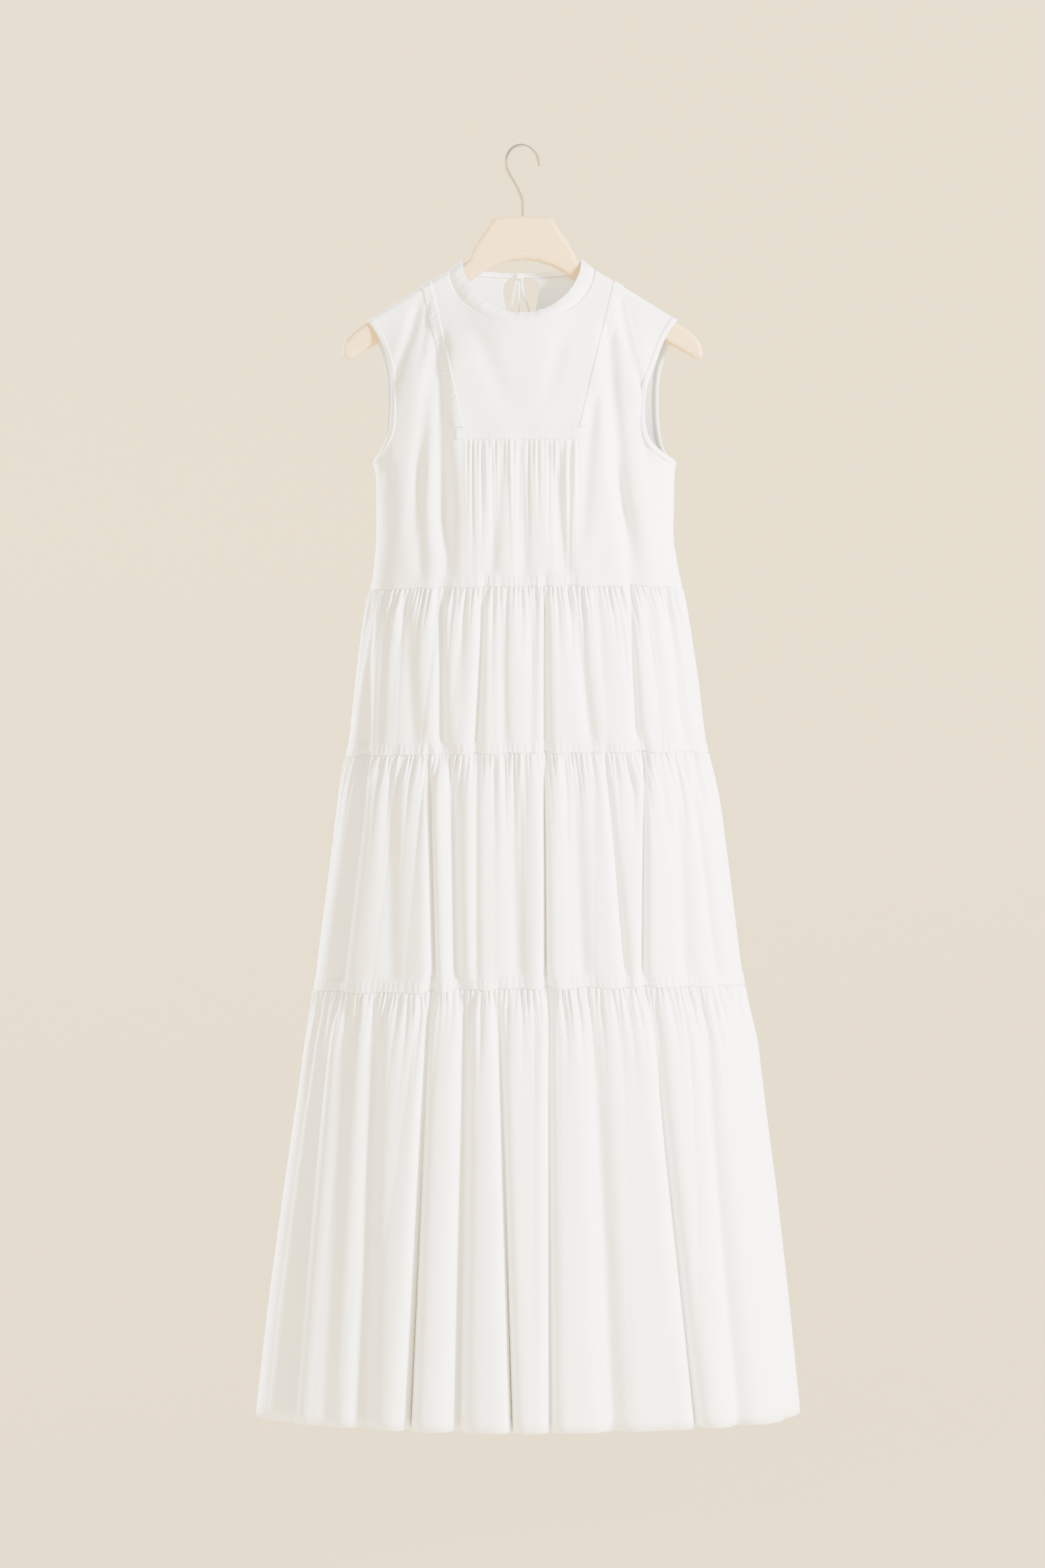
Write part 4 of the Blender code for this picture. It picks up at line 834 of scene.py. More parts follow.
BACK_CREASES = (
    (0.0034, 0.007, (-0.1080, -0.160), (-0.1230, -0.220), (-0.1400, -0.290)),
    (0.0060, 0.012, (-0.0800, -0.215), (-0.0840, -0.330), (-0.0900, -0.480)),
    (0.0026, 0.010, (-0.0300, -0.230), (-0.0350, -0.340), (-0.0400, -0.470)),
    (0.0030, 0.011, (0.0260, -0.235), (0.0330, -0.350), (0.0300, -0.480)),
    (0.0058, 0.011, (0.0820, -0.210), (0.0910, -0.320), (0.1010, -0.480)),
    (0.0034, 0.007, (0.1100, -0.160), (0.1260, -0.215), (0.1390, -0.285)),
    (0.0028, 0.004, (0.1450, -0.335), (0.1540, -0.380), (0.1610, -0.460)),
    (0.0028, 0.004, (-0.1430, -0.340), (-0.1530, -0.385), (-0.1590, -0.465)),
)
CREASE_START = 0.030
CREASE_END = 0.070
CREASE_SPREAD = 2.4
RUMPLE = 0.0007
RUMPLE_WAVES = 14
RUMPLE_ACROSS = 90.0
RUMPLE_DOWN = 34.0
SHOULDER_SETTLE = 0.030
UNEVENNESS = {FRONT: (5, FRONT_CREASES), BACK: (9, BACK_CREASES)}


def patch_between(top, foot, left, right, across, down, reach=1):
    """A patch of places between four edges. A high reach holds the right edge's bends near it."""
    u, v = np.meshgrid(across, down)
    u, v = u[..., None], v[..., None]
    left_bend = left[:, None] - (1 - v) * top[0] - v * foot[0]
    right_bend = right[:, None] - (1 - v) * top[-1] - v * foot[-1]
    return (1 - v) * top[None] + v * foot[None] + (1 - u) * left_bend + u ** reach * right_bend


def length_shares(points):
    """The share of a line's length at each of its points."""
    length = lengths_along(points)
    return length / length[-1]


def along(points, shares):
    """Places at shares of the way along a line of points, by its length."""
    points = np.array(points)
    length = length_shares(points)
    return np.stack([np.interp(shares, length, points[:, axis]) for axis in (0, 1)], axis=-1)


def edge_at(points, heights):
    """Places on an edge at the given heights, on a smooth line through its own places."""
    fine = smooth_route(np.insert(np.array(points), 1, 0.0, axis=1), EDGE_STEP)
    x = np.interp(-np.asarray(heights), -fine[:, 2], fine[:, 0])
    return np.stack((x, heights), axis=-1)


def shoulder_line(start, end, count):
    """Places along the shoulder line between two values of x."""
    x = np.linspace(start, end, count)
    return np.stack((x, shoulder_height(x)), axis=-1)


def bib_joint(side_sign, rows, foot=BIB_JOINT_HEIGHT):
    """Places down the seam between the bib and the front body, at one side."""
    low = BIB_JOINT_LEFT if side_sign < 0 else BIB_JOINT_RIGHT
    high = side_sign * BIB_JOINT_TOP
    top_height = shoulder_height(high)
    heights = top_height + (foot - top_height) * rows
    x = high + (low - high) * (heights - top_height) / (BIB_JOINT_HEIGHT - top_height)
    return np.stack((x, heights), axis=-1)


def rumple(x, z, seed):
    """A low, wandering unevenness of cloth that hangs flat."""
    random = np.random.default_rng(seed)
    total = np.zeros_like(x)
    for _ in range(RUMPLE_WAVES):
        across = random.normal(0.0, RUMPLE_ACROSS)
        down = random.normal(0.0, RUMPLE_DOWN)
        total += np.cos(across * x + down * z + random.uniform(0.0, 2 * math.pi))
    return RUMPLE * total / math.sqrt(RUMPLE_WAVES / 2)


def creases(x, z, lines):
    """How far the listed soft folds above the waist stand in, by front-view place."""
    total = np.zeros_like(x)
    for depth, width, *points in lines:
        line = np.array(points)
        place = np.interp(-z, -line[:, 1], line[:, 0])
        fade = ease((line[0, 1] - z) / CREASE_START) * ease((z - line[-1, 1]) / CREASE_END)
        away = (x - place) / width
        total += fade * depth * ((1 + RIDGE_SHARE) * np.exp(-np.square(away))
                                 - RIDGE_SHARE * np.exp(-np.square(away / CREASE_SPREAD)))
    return total


def unevenness(x, z, side):
    """How far the bodice's rumples and creases stand out, above the waist."""
    seed, lines = UNEVENNESS[side]
    settle = ease((shoulder_height(x) - z) / SHOULDER_SETTLE)
    return (rumple(x, z, seed) - creases(x, z, lines)) * settle


def cloth_at(x, z, side):
    """Points of the bodice's own uneven cloth where the front view shows them."""
    points = body_at(x, z, side)
    points[..., 1] += side * unevenness(points[..., 0], points[..., 2], side)
    return points


def lower_rows(first_places, left_armhole, right_armhole, side, centre=None):
    """Rows from the bib's foot down to the waist seam, with the side seams from the underarm."""
    fine, arc = row_arc(BIB_JOINT_HEIGHT, side)
    calm = np.array((-CALM_HALF, CALM_HALF))
    places = np.interp(angle_of(first_places[:, 0], np.full(len(first_places), BIB_JOINT_HEIGHT)),
                       fine, arc)
    inner = np.interp(angle_of(calm, np.full(2, BIB_JOINT_HEIGHT)), fine, arc)
    lean_left = np.clip((inner[0] - places) / (inner[0] - places[0]), 0.0, 1.0) ** 3
    lean_right = np.clip((places - inner[1]) / (places[-1] - inner[1]), 0.0, 1.0) ** 3

    def row_places(height):
        """Angles of one row's points, and their shares of its length."""
        row_fine, row_length = row_arc(height, side)
        ends = np.array((-FULL_SIDE, FULL_SIDE))
        if height > UNDERARM + 1e-6:
            edges = np.array((edge_at(left_armhole, [height])[0, 0],
                              edge_at(right_armhole, [height])[0, 0]))
            ends = angle_of(edges, np.full(2, height))
        lines = np.interp(angle_of(calm, np.full(2, height)), row_fine, row_length)
        ends = np.interp(ends, row_fine, row_length)
        middle = lines[0] + (places - inner[0]) * (lines[1] - lines[0]) / (inner[1] - inner[0])
        left = lines[0] - (inner[0] - places)
        right = lines[1] + (places - inner[1])
        row = np.where(places < inner[0], left, np.where(places > inner[1], right, middle))
        row = row + (ends[0] - left[0]) * lean_left + (ends[1] - right[-1]) * lean_right
        return np.interp(row, row_length, row_fine), row / row_length[-1]

    _, shares = row_places(float(np.mean(WAIST_SEAM)))
    shares = (shares - shares[0]) / (shares[-1] - shares[0])
    waist = seam_height(WAIST_SEAM, shares)
    chest = np.linspace(BIB_BAND_FOOT, UNDERARM, CHEST_ROWS)
    down = rows_to_strip(np.linspace(0.0, 1.0, WAIST_ROWS + 1)[1:],
                         float(UNDERARM - np.mean(waist)))
    heights = np.concatenate((np.repeat(chest[:, None], len(shares), axis=1),
                              UNDERARM + (waist - UNDERARM) * down[:, None]))
    base = np.array([body(row_places(float(np.mean(row)))[0], row, side) for row in heights])
    share = (BIB_JOINT_HEIGHT - heights) / (BIB_JOINT_HEIGHT - waist)
    above = heights - waist
    push, slide = fold_moves(base, share, BODICE_FOLDS, side)
    push, slide = push * ease(share / FOLD_START), slide * ease(share / FOLD_START) * BODICE_PINCH
    at_foot = 1 - ease(above / SEAM_BLEND)
    shared = seam_push(base, BODICE_FOLDS, SECOND_TIER_FOLDS, side)
    push = push + (shared - push) * at_foot
    fade = ease(np.minimum(shares, 1 - shares) / FOLD_FADE)
    push, slide = push * fade, slide * fade * (1 - at_foot)
    push = push + strip_push(shares if side == FRONT else -shares, above, WAIST_ROUND,
                             WAIST_SEED)
    if centre is not None:
        start, end = centre
        inner = np.linspace(0.0, 1.0, end - start + 1)
        drop = BIB_BAND_FOOT + GATHER_TUCK - heights[:, start:end + 1]
        drop = drop / np.clip(1 + GATHER_UNEVEN * ring_noise(inner, *GATHER_NOISE),
                              *GATHER_LENGTHS)
        wave = sum(height * np.interp(drop, drops, drop_shares)
                   * puckers(inner, number * BIB_GATHERS, seed)
                   for height, number, seed, drops, drop_shares in GATHER_WAVES)
        push[:, start:end + 1] += ease(np.minimum(inner, 1 - inner) / GATHER_EDGE) * wave
    outward, sideways = level_frames(base, side)
    moved = base + outward * push[..., None] + sideways * slide[..., None]
    moved[..., 1] += (side * unevenness(base[..., 0], base[..., 2], side) * fade
                      * ease(above / WAIST_SETTLE))
    moved[..., 2] += SEAM_DIP * shared * at_foot * fade
    return moved


def strap_places(sign):
    """Front-view places of the front body at one side of the bib, from its left edge."""
    across = np.linspace(0.0, 1.0, STRAP_COLUMNS + 1)
    joint = bib_joint(sign, UPPER_ROWS) + (sign * HALF_GAP, 0.0)
    tip = LEFT_FRONT_ARMHOLE[0][1]
    armhole_heights = tip + (BIB_JOINT_HEIGHT - tip) * UPPER_ROWS
    if sign < 0:
        left, right = edge_at(LEFT_FRONT_ARMHOLE, armhole_heights), joint
    else:
        left, right = joint, edge_at(RIGHT_FRONT_ARMHOLE, armhole_heights)
    top = shoulder_line(left[0, 0], right[0, 0], STRAP_COLUMNS + 1)
    left[0], right[0] = top[0], top[-1]
    foot = along((left[-1], right[-1]), across)
    return patch_between(top, foot, left, right, across, UPPER_ROWS)


left_strap, right_strap = strap_places(-1), strap_places(1)
centre_columns = PUCKER_COLUMNS * BIB_GATHERS
centre = np.zeros((len(UPPER_ROWS), centre_columns - 1, 2))
centre[..., 0] = np.linspace(left_strap[-1, -1, 0], right_strap[-1, 0, 0],
                             centre_columns + 1)[1:-1]
centre[..., 1] = BIB_JOINT_HEIGHT
places = np.concatenate((left_strap, centre, right_strap), axis=1)
upper = cloth_at(places[..., 0], places[..., 1], FRONT)
centre_span = (STRAP_COLUMNS, STRAP_COLUMNS + centre_columns)
lower = lower_rows(places[-1], LEFT_FRONT_ARMHOLE, RIGHT_FRONT_ARMHOLE, FRONT, centre_span)
front_grid = np.concatenate((upper, lower), axis=0)
front_keep = np.ones((front_grid.shape[0] - 1, front_grid.shape[1] - 1), dtype=bool)
front_keep[:len(UPPER_ROWS) - 1, centre_span[0]:centre_span[1]] = False
front_body = cloth_piece("front_bodice", front_grid, FRONT, FLAT_COTTON, keep=front_keep)

# The bib and its stitched bands
# The bib is a plain trapezoid of one cloth. Narrow straight bands are stitched over its two
# seams and over its foot, where the gathers begin.
BIB_TURNS = np.radians(np.linspace(-90.0, 90.0, 121))
BIB_SHOULDER_PART = 8
BAND_HALF_WIDTH = 0.0055
BAND_COLUMNS = 13
SIDE_BAND_ROWS = 170
BOTTOM_BAND_COLUMNS = 240
BAND_STITCH_SHARE = 0.78
BAND_STITCH_DROP = 0.002
BOTTOM_STITCH_SHARE = 0.8
BAND_SQUARE = 6
BAND_CLEAR = 0.0001
BAND_RISE = 0.0011
RIPPLE_RISE = 0.34
RIPPLE_PITCH = 0.0062
RIPPLE_WANDER = (1.3, 3.7)
RIPPLE_SWELL = (0.55, 0.45, 5.3)
CRINKLE_RISE = 0.13
CRINKLE_PITCH = 0.0042
NORMAL_STEP = 0.001


def ring_places(turn, half_width, drop):
    """Places on a ring from shoulder to shoulder, lowest at its middle by the drop."""
    left = shoulder_height(NECK_CENTRE - half_width)
    right = shoulder_height(NECK_CENTRE + half_width)
    level = (left + right) / 2 + (right - left) / 2 * np.sin(turn)
    x = NECK_CENTRE + half_width * np.sin(turn)
    return np.stack((x, level - drop * np.cos(turn)), axis=-1)


def bib_edge(sign):
    """Places down one side of the bib: out along the shoulder, then down its joint."""
    joint = bib_joint(sign, UPPER_ROWS) - (sign * HALF_GAP, 0.0)
    shoulder = shoulder_line(NECK_CENTRE + sign * NECK_HALF_WIDTH, joint[0, 0],
                             BIB_SHOULDER_PART + 1)
    return np.concatenate((shoulder, joint[1:]), axis=0)


def on_front(x, z, lift=0.0):
    """Points on the front's own uneven surface, or a lift out from it."""
    beside = body_at(x + NORMAL_STEP, z, FRONT)
    below = body_at(x, z - NORMAL_STEP, FRONT)
    base = body_at(x, z, FRONT)
    normal = np.cross(beside - base, base - below)
    normal *= np.sign(-normal[..., 1:2])
    normal /= np.maximum(np.linalg.norm(normal, axis=-1, keepdims=True), 1e-12)
    return cloth_at(x, z, FRONT) + normal * np.asarray(lift)[..., None]


left, right = bib_edge(-1), bib_edge(1)
neck = ring_places(BIB_TURNS, NECK_HALF_WIDTH, FRONT_NECK_DROP)
across = length_shares(neck)
foot = along((left[-1], right[-1]), across)
places = patch_between(neck, foot, left, right, across, length_shares(left))
bib = cloth_piece("front_bib", on_front(places[..., 0], places[..., 1]), FRONT, FLAT_COTTON)


def stitched_band(node_name, x, heights, across, phase, ripple_rise):
    """A pressed band: square-shouldered across, and drawn into ripples along its seams."""
    rise = BAND_RISE * np.power(np.clip(1 - np.abs(across) ** BAND_SQUARE, 0.0, 1.0), 0.5)
    wander, slow = RIPPLE_WANDER
    level, swell, slower = RIPPLE_SWELL
    ripple = (np.sin(phase + wander * np.sin(phase / slow))
              * (level + swell * np.sin(phase / slower)))
    lift = rise * (1 + ripple_rise * ripple) + BAND_CLEAR
    cloth_piece(node_name, on_front(x, heights, lift), FRONT, FLAT_COTTON,
                thickness=BAND_RISE / 2)


profile = np.linspace(-1.0, 1.0, BAND_COLUMNS)
band_rows = np.linspace(0.0, 1.0, SIDE_BAND_ROWS)
for sign, node_name, ripple_rise in ((-1, "bib_side_band_left", RIPPLE_RISE),
                                     (1, "bib_side_band_right", RIPPLE_RISE / 3)):
    joint = bib_joint(sign, band_rows, BIB_BAND_TOP + SEAM_GAP)
    x = joint[:, None, 0] + profile * BAND_HALF_WIDTH
    slant = shoulder_height(x) - shoulder_height(joint[:, :1])
    heights = joint[:, 1:] + slant * (1 - band_rows)[:, None]
    heights = np.minimum(heights, shoulder_height(x) - 2 * SEAM_GAP)
    phase = 2 * math.pi * (heights + sign * 0.5 * profile * BAND_HALF_WIDTH) / RIPPLE_PITCH
    stitched_band(node_name, x, heights, profile + np.zeros_like(x), phase, ripple_rise)
    for edge in (-BAND_STITCH_SHARE, BAND_STITCH_SHARE):
        x = joint[:, 0] + edge * BAND_HALF_WIDTH
        stitch_lines.append(on_front(x, joint[:, 1] - BAND_STITCH_DROP,
                                     np.full(len(x), BAND_RISE)))

x = np.tile(np.linspace(BIB_JOINT_LEFT - BAND_HALF_WIDTH, BIB_JOINT_RIGHT + BAND_HALF_WIDTH,
                        BOTTOM_BAND_COLUMNS), (BAND_COLUMNS, 1))
middle, half = (BIB_BAND_TOP + BIB_BAND_FOOT) / 2, (BIB_BAND_TOP - BIB_BAND_FOOT) / 2
across = profile[:, None] + np.zeros_like(x)
stitched_band("bib_bottom_band", x, middle - across * half, across,
              2 * math.pi * x / CRINKLE_PITCH, CRINKLE_RISE)
for edge in (-BOTTOM_STITCH_SHARE, BOTTOM_STITCH_SHARE):
    stitch_lines.append(on_front(x[0], middle - edge * half + np.zeros_like(x[0]),
                                 np.full(x.shape[1], BAND_RISE)))

# The back of the bodice
# The back body is one piece with a teardrop keyhole cut under the neckband, turned in and
# stitched, and closed above by the knotted ties.
LEFT_BACK_ARMHOLE = ((-0.1740, -0.1950), (-0.1640, -0.2220), (-0.1550, -0.2500),
                     (-0.1530, -0.2850), (-0.1540, -0.3180), (-0.1565, -0.3350),
                     (-0.1605, -0.3455), (-0.1642, -0.3515), (-0.1672, -0.3546),
                     (-0.1680, UNDERARM))
RIGHT_BACK_ARMHOLE = ((0.1740, -0.1950), (0.1640, -0.2270), (0.1550, -0.2560),
                      (0.1535, -0.2960), (0.1555, -0.3200), (0.1585, -0.3350),
                      (0.1635, -0.3455), (0.1685, -0.3515), (0.1718, -0.3546),
                      (0.1730, UNDERARM))
KEYHOLE_CENTRE = -0.002
KEYHOLE = ((-0.1467, 0.0139), (-0.1520, 0.0185), (-0.1600, 0.0202), (-0.1720, 0.0188),
           (-0.1830, 0.0160), (-0.1930, 0.0110), (-0.2020, 0.0))
KEYHOLE_SHARE = 0.305
KEYHOLE_STEP = 0.001
SLIT_ROWS = 24
BELOW_SLIT_ROWS = 18
BACK_SHOULDER_PART = 24
BACK_FIRST_STEP = 6.0
BACK_TURN_STEP = 1.5
KEYHOLE_ROUND = 0.021
KEYHOLE_REACH = 8
STITCH_LIFT = 0.0001


def keyhole_turn(sign):
    """The turn, as a positive angle, at which the neck's seam meets the keyhole's edge."""
    edge = KEYHOLE_CENTRE + sign * KEYHOLE[0][1]
    return sign * np.arcsin((edge - NECK_CENTRE) / NECK_HALF_WIDTH)


slit_rows = np.sin(np.linspace(0.0, FULL_SIDE, SLIT_ROWS + 1)) * KEYHOLE_SHARE
back_rows = np.concatenate((slit_rows, np.linspace(KEYHOLE_SHARE, 1.0, BELOW_SLIT_ROWS + 1)[1:]))
slit = smooth_route(np.insert(np.array(KEYHOLE), 1, 0.0, axis=1), KEYHOLE_STEP)
halves = []
for sign, armhole in ((-1, LEFT_BACK_ARMHOLE), (1, RIGHT_BACK_ARMHOLE)):
    tip = armhole[0][1]
    outer_edge = edge_at(armhole, tip + (BIB_JOINT_HEIGHT - tip) * back_rows)
    above_foot = KEYHOLE[0][0] + (KEYHOLE[-1][0] - KEYHOLE[0][0]) * back_rows / KEYHOLE_SHARE
    below_foot = KEYHOLE[-1][0] + ((BIB_JOINT_HEIGHT - KEYHOLE[-1][0])
                                   * (back_rows - KEYHOLE_SHARE) / (1 - KEYHOLE_SHARE))
    heights = np.where(back_rows <= KEYHOLE_SHARE, above_foot, below_foot)
    half_width = np.interp(-heights, -slit[:, 0], slit[:, 2], right=0.0)
    above_end = np.clip((heights - KEYHOLE[-1][0]) / KEYHOLE_ROUND, 0.0, 1.0)
    round_start = np.interp(-KEYHOLE[-1][0] - KEYHOLE_ROUND, -slit[:, 0], slit[:, 2])
    rounded = round_start * np.sqrt(1 - np.square(1 - above_end))
    half_width = np.where(above_end < 1.0, rounded, half_width)
    half_width[SLIT_ROWS:] = 0.0
    slit_edge = np.stack((KEYHOLE_CENTRE + sign * half_width, heights), axis=-1)
    first_turn = FULL_SIDE - math.radians(BACK_FIRST_STEP)
    turn_count = int((first_turn - keyhole_turn(sign)) / math.radians(BACK_TURN_STEP))
    turns = np.linspace(first_turn, keyhole_turn(sign), turn_count + 1)
    turns = sign * np.concatenate(([FULL_SIDE], turns))
    shoulder = shoulder_line(outer_edge[0, 0], NECK_CENTRE + sign * NECK_HALF_WIDTH,
                             BACK_SHOULDER_PART + 1)
    top = np.concatenate((shoulder, ring_places(turns, NECK_HALF_WIDTH, BACK_NECK_DROP)[1:]))
    slit_edge[0] = top[-1]
    outer_edge[0] = top[0]
    across = length_shares(top)
    foot = along((outer_edge[-1], slit_edge[-1]), across)
    half = patch_between(top, foot, outer_edge, slit_edge, across, back_rows, KEYHOLE_REACH)
    halves.append(half if sign < 0 else half[:, ::-1])
left_columns = halves[0].shape[1]
places = np.concatenate(halves, axis=1)
upper = cloth_at(places[..., 0], places[..., 1], BACK)
lower = lower_rows(np.delete(places[-1], left_columns, axis=0), LEFT_BACK_ARMHOLE,
                   RIGHT_BACK_ARMHOLE, BACK)
lower = np.insert(lower, left_columns, lower[:, left_columns - 1], axis=1)
back_grid = np.concatenate((upper, lower), axis=0)
back_keep = np.ones((back_grid.shape[0] - 1, back_grid.shape[1] - 1), dtype=bool)
back_keep[:, left_columns - 1] = False
for column in (left_columns - 2, left_columns + 1):
    stitch_lines.append(back_grid[1:SLIT_ROWS + 1, column] + (0.0, STITCH_LIFT, 0.0))
back_body = cloth_piece("back_bodice", back_grid, BACK, FLAT_COTTON, keep=back_keep, weld=True)

# The armhole bindings
# Each armhole's raw edge is bound with a narrow bias strip, folded over it and stitched close to
# its inner edge.
BINDING_WIDTH = 0.0060
BINDING_RISE = 0.0009
BINDING_BACK = 0.0010
BINDING_UV_STEP = 0.0017
BINDING_STITCH_SHARE = 0.80
BINDING_SECTION = ((1.0, 0.00015), (0.93, 1.0), (0.55, 1.08), (0.15, 0.95), (-0.06, 0.35),
                   (-0.06, -0.5), (0.15, -1.0), (0.93, -1.0))
EVENING_PASSES = 6


def unit(directions):
    """Directions, each one long."""
    return directions / np.linalg.norm(directions, axis=1, keepdims=True)


def armhole_binding(node_name, edge, inward):
    """A strip folded round an armhole's edge, as a ring of rounded sections."""
    tangent = unit(np.roll(edge, -1, axis=0) - np.roll(edge, 1, axis=0))
    inward = unit(inward - tangent * np.sum(inward * tangent, axis=1, keepdims=True))
    for _ in range(EVENING_PASSES):
        inward = 0.5 * inward + 0.25 * (np.roll(inward, 1, axis=0) + np.roll(inward, -1, axis=0))
    inward = unit(inward)
    normal = np.cross(tangent, inward)
    lowest = int(np.argmin(edge[:, 2]))
    normal *= np.sign(normal[lowest, 0] * edge[lowest, 0])
    grid = np.stack([edge + inward * (BINDING_WIDTH * width)
                     + normal * (rise * (BINDING_RISE if rise > 0 else BINDING_BACK))
                     for width, rise in BINDING_SECTION], axis=1)
    index = np.arange(grid.shape[0] * grid.shape[1]).reshape(grid.shape[:2])
    after, beside = np.roll(index, -1, axis=0), np.roll(index, -1, axis=1)
    faces = np.stack((index, after, np.roll(after, -1, axis=1), beside), axis=-1).reshape(-1, 4)
    steps = lengths_along(edge)
    cotton_piece(node_name, strand_mesh(
        node_name, grid, faces.tolist(),
        lambda row, column: (column * BINDING_UV_STEP, steps[row])))
    line = (edge + inward * (BINDING_WIDTH * BINDING_STITCH_SHARE)
            + normal * (BINDING_RISE + STITCH_LIFT))
    stitch_lines.append(np.concatenate((line, line[:1])))


front_rows = len(UPPER_ROWS) + CHEST_ROWS
back_row_count = len(back_rows) + CHEST_ROWS
for node_name, edge, beside in (("armhole_binding_left", 0, 1), ("armhole_binding_right", -1, -2)):
    front_edge, back_edge = front_grid[:front_rows, edge], back_grid[:back_row_count, edge]
    front_in = front_grid[:front_rows, beside] - front_edge
    back_in = back_grid[:back_row_count, beside] - back_edge
    ring = np.concatenate((front_edge[:-1], back_edge[::-1][:-1]))
    ring[0] = (front_edge[0] + back_edge[0]) / 2
    ring_in = np.concatenate((front_in[:-1], back_in[::-1][:-1]))
    ring_in[ring[:, 2] < BIB_BAND_FOOT] = (0.0, 0.0, -1.0)
    armhole_binding(node_name, ring, ring_in)

# The neckband
# A soft stand band of doubled cloth, rolled over at its top. Its back ends are drawn together
# into small pleats where they run out into the ties.
NECKBAND_TOP_HALF_WIDTH = 0.0680
NECKBAND_TOP_RISE = 0.0028
BAND_DROPS = {FRONT: (FRONT_NECK_DROP, 0.0635, 0.030), BACK: (BACK_NECK_DROP, 0.0145, 0.015)}
BAND_LEAN_POWER = 1.2
BAND_PUFF = 0.0012
BAND_DOUBLE = 0.0018
BAND_ROWS = 14
BAND_ROLL_ROWS = 8
BAND_WALL = 0.0003
BAND_UV_STEP = 0.0012
BAND_WAVER = ((0.0004, 19.0, 0.0), (0.0003, 41.0, 1.0))
BAND_TUCK = 0.001
KNOT_PLEATS = 5
KNOT_PLEAT_RISE = 0.0010
KNOT_PLEAT_SPREAD = 0.016
BACK_BAND_COLUMNS = 70


def neckband(node_name, side, turn, top_turn):
    """A stretch of the stand band: its outer face, the roll at its top, and its inner face."""
    seam_drop, drop, depth = BAND_DROPS[side]
    foot = cloth_at(*ring_places(turn, NECK_HALF_WIDTH, seam_drop).T, side)
    x, z = ring_places(top_turn, NECKBAND_TOP_HALF_WIDTH, drop).T
    z = z + NECKBAND_TOP_RISE
    off = shoulder_wrap(shoulder_height(x) - z)
    lean = off + (depth - SHOULDER_WRAP) * np.power(np.cos(top_turn).clip(0.0), BAND_LEAN_POWER)
    top = np.stack((x, side * np.maximum(lean, HALF_GAP), z), axis=-1)
    outward = np.cross(np.gradient(top, axis=0), top - foot)
    outward = unit(outward * np.sign(side * outward[len(outward) // 2, 1]))
    up = unit(top - foot)
    waver = sum(size * np.cos(rate * turn + start) for size, rate, start in BAND_WAVER)
    pleats = np.zeros_like(x)
    if side == BACK:
        pleats = KNOT_PLEAT_RISE * np.exp(-np.abs(x - KNOT_PLACE[0]) / KNOT_PLEAT_SPREAD)
    rows = []
    for share in np.linspace(0.0, 1.0, BAND_ROWS):
        puff = BAND_PUFF * math.sin(math.pi * share) + waver * share
        fold = pleats * math.sin(share * KNOT_PLEATS * math.pi)
        rows.append(foot + (top - foot) * share + outward * (puff + fold)[:, None])
    inner = [row - outward * BAND_DOUBLE for row in rows[-2::-1]]
    radius = BAND_DOUBLE / 2
    roll = [rows[-1] + up * radius * math.sin(angle) - outward * radius * (1 - math.cos(angle))
            for angle in np.linspace(0.0, math.pi, BAND_ROLL_ROWS)[1:]]
    grid = np.array(rows + roll + inner)[::-1]
    grid[..., 1] = side * np.maximum(side * grid[..., 1], HALF_GAP)
    height = np.arange(len(grid)) * BAND_UV_STEP
    uv = np.stack(np.broadcast_arrays(lengths_along(top)[None], height[:, None]), axis=-1)
    cloth_piece(node_name, grid, side, FLAT_COTTON, uv, BAND_WALL)


neckband("neckband_front", FRONT, BIB_TURNS, BIB_TURNS)
for sign, node_name in ((-1, "neckband_back_left"), (1, "neckband_back_right")):
    end = KNOT_PLACE[0] + sign * (KNOT_SIZE[0] - BAND_TUCK) - NECK_CENTRE
    foot_turns, top_turns = (
        sign * np.linspace(FULL_SIDE, sign * math.asin(end / half_width), BACK_BAND_COLUMNS)
        for half_width in (NECK_HALF_WIDTH, NECKBAND_TOP_HALF_WIDTH))
    order = slice(None, None, -sign)
    neckband(node_name, BACK, foot_turns[order], top_turns[order])

# The topstitching
# White thread holds the bands, the bindings and the strips over the tier seams. Each stitch is a
# short round dash along its line.
STITCH_LENGTH = 0.0022
STITCH_PITCH = 0.0032
STITCH_WIDTH = 0.00045
STITCH_SIDES = 6
UPPER_STITCHES = STRIP_HEIGHT - 0.0015
LOWER_STITCHES = 0.0018
THREAD_DARK = (0.80, 0.80, 0.78, 1.0)
THREAD_BRIGHT = (0.93, 0.93, 0.92, 1.0)
THREAD_ROUGHNESS = 0.55
PLY_SCALE = 2500.0

sewn_grids = dict(tier_grids, front_bodice=front_grid,
                  back_bodice=np.delete(back_grid, left_columns, axis=1))
for node_name, grid in sewn_grids.items():
    side = BACK if "back" in node_name else FRONT
    rows_above = np.mean(grid[:, :, 2] - grid[-1, :, 2], axis=1)
    for height in (UPPER_STITCHES,) if "bottom" in node_name else (UPPER_STITCHES, LOWER_STITCHES):
        row = int(np.argmin(np.abs(rows_above - height)))
        outward, _ = level_frames(grid[row:row + 1], side)
        stitch_lines.append(grid[row] + outward[0] * STITCH_LIFT)


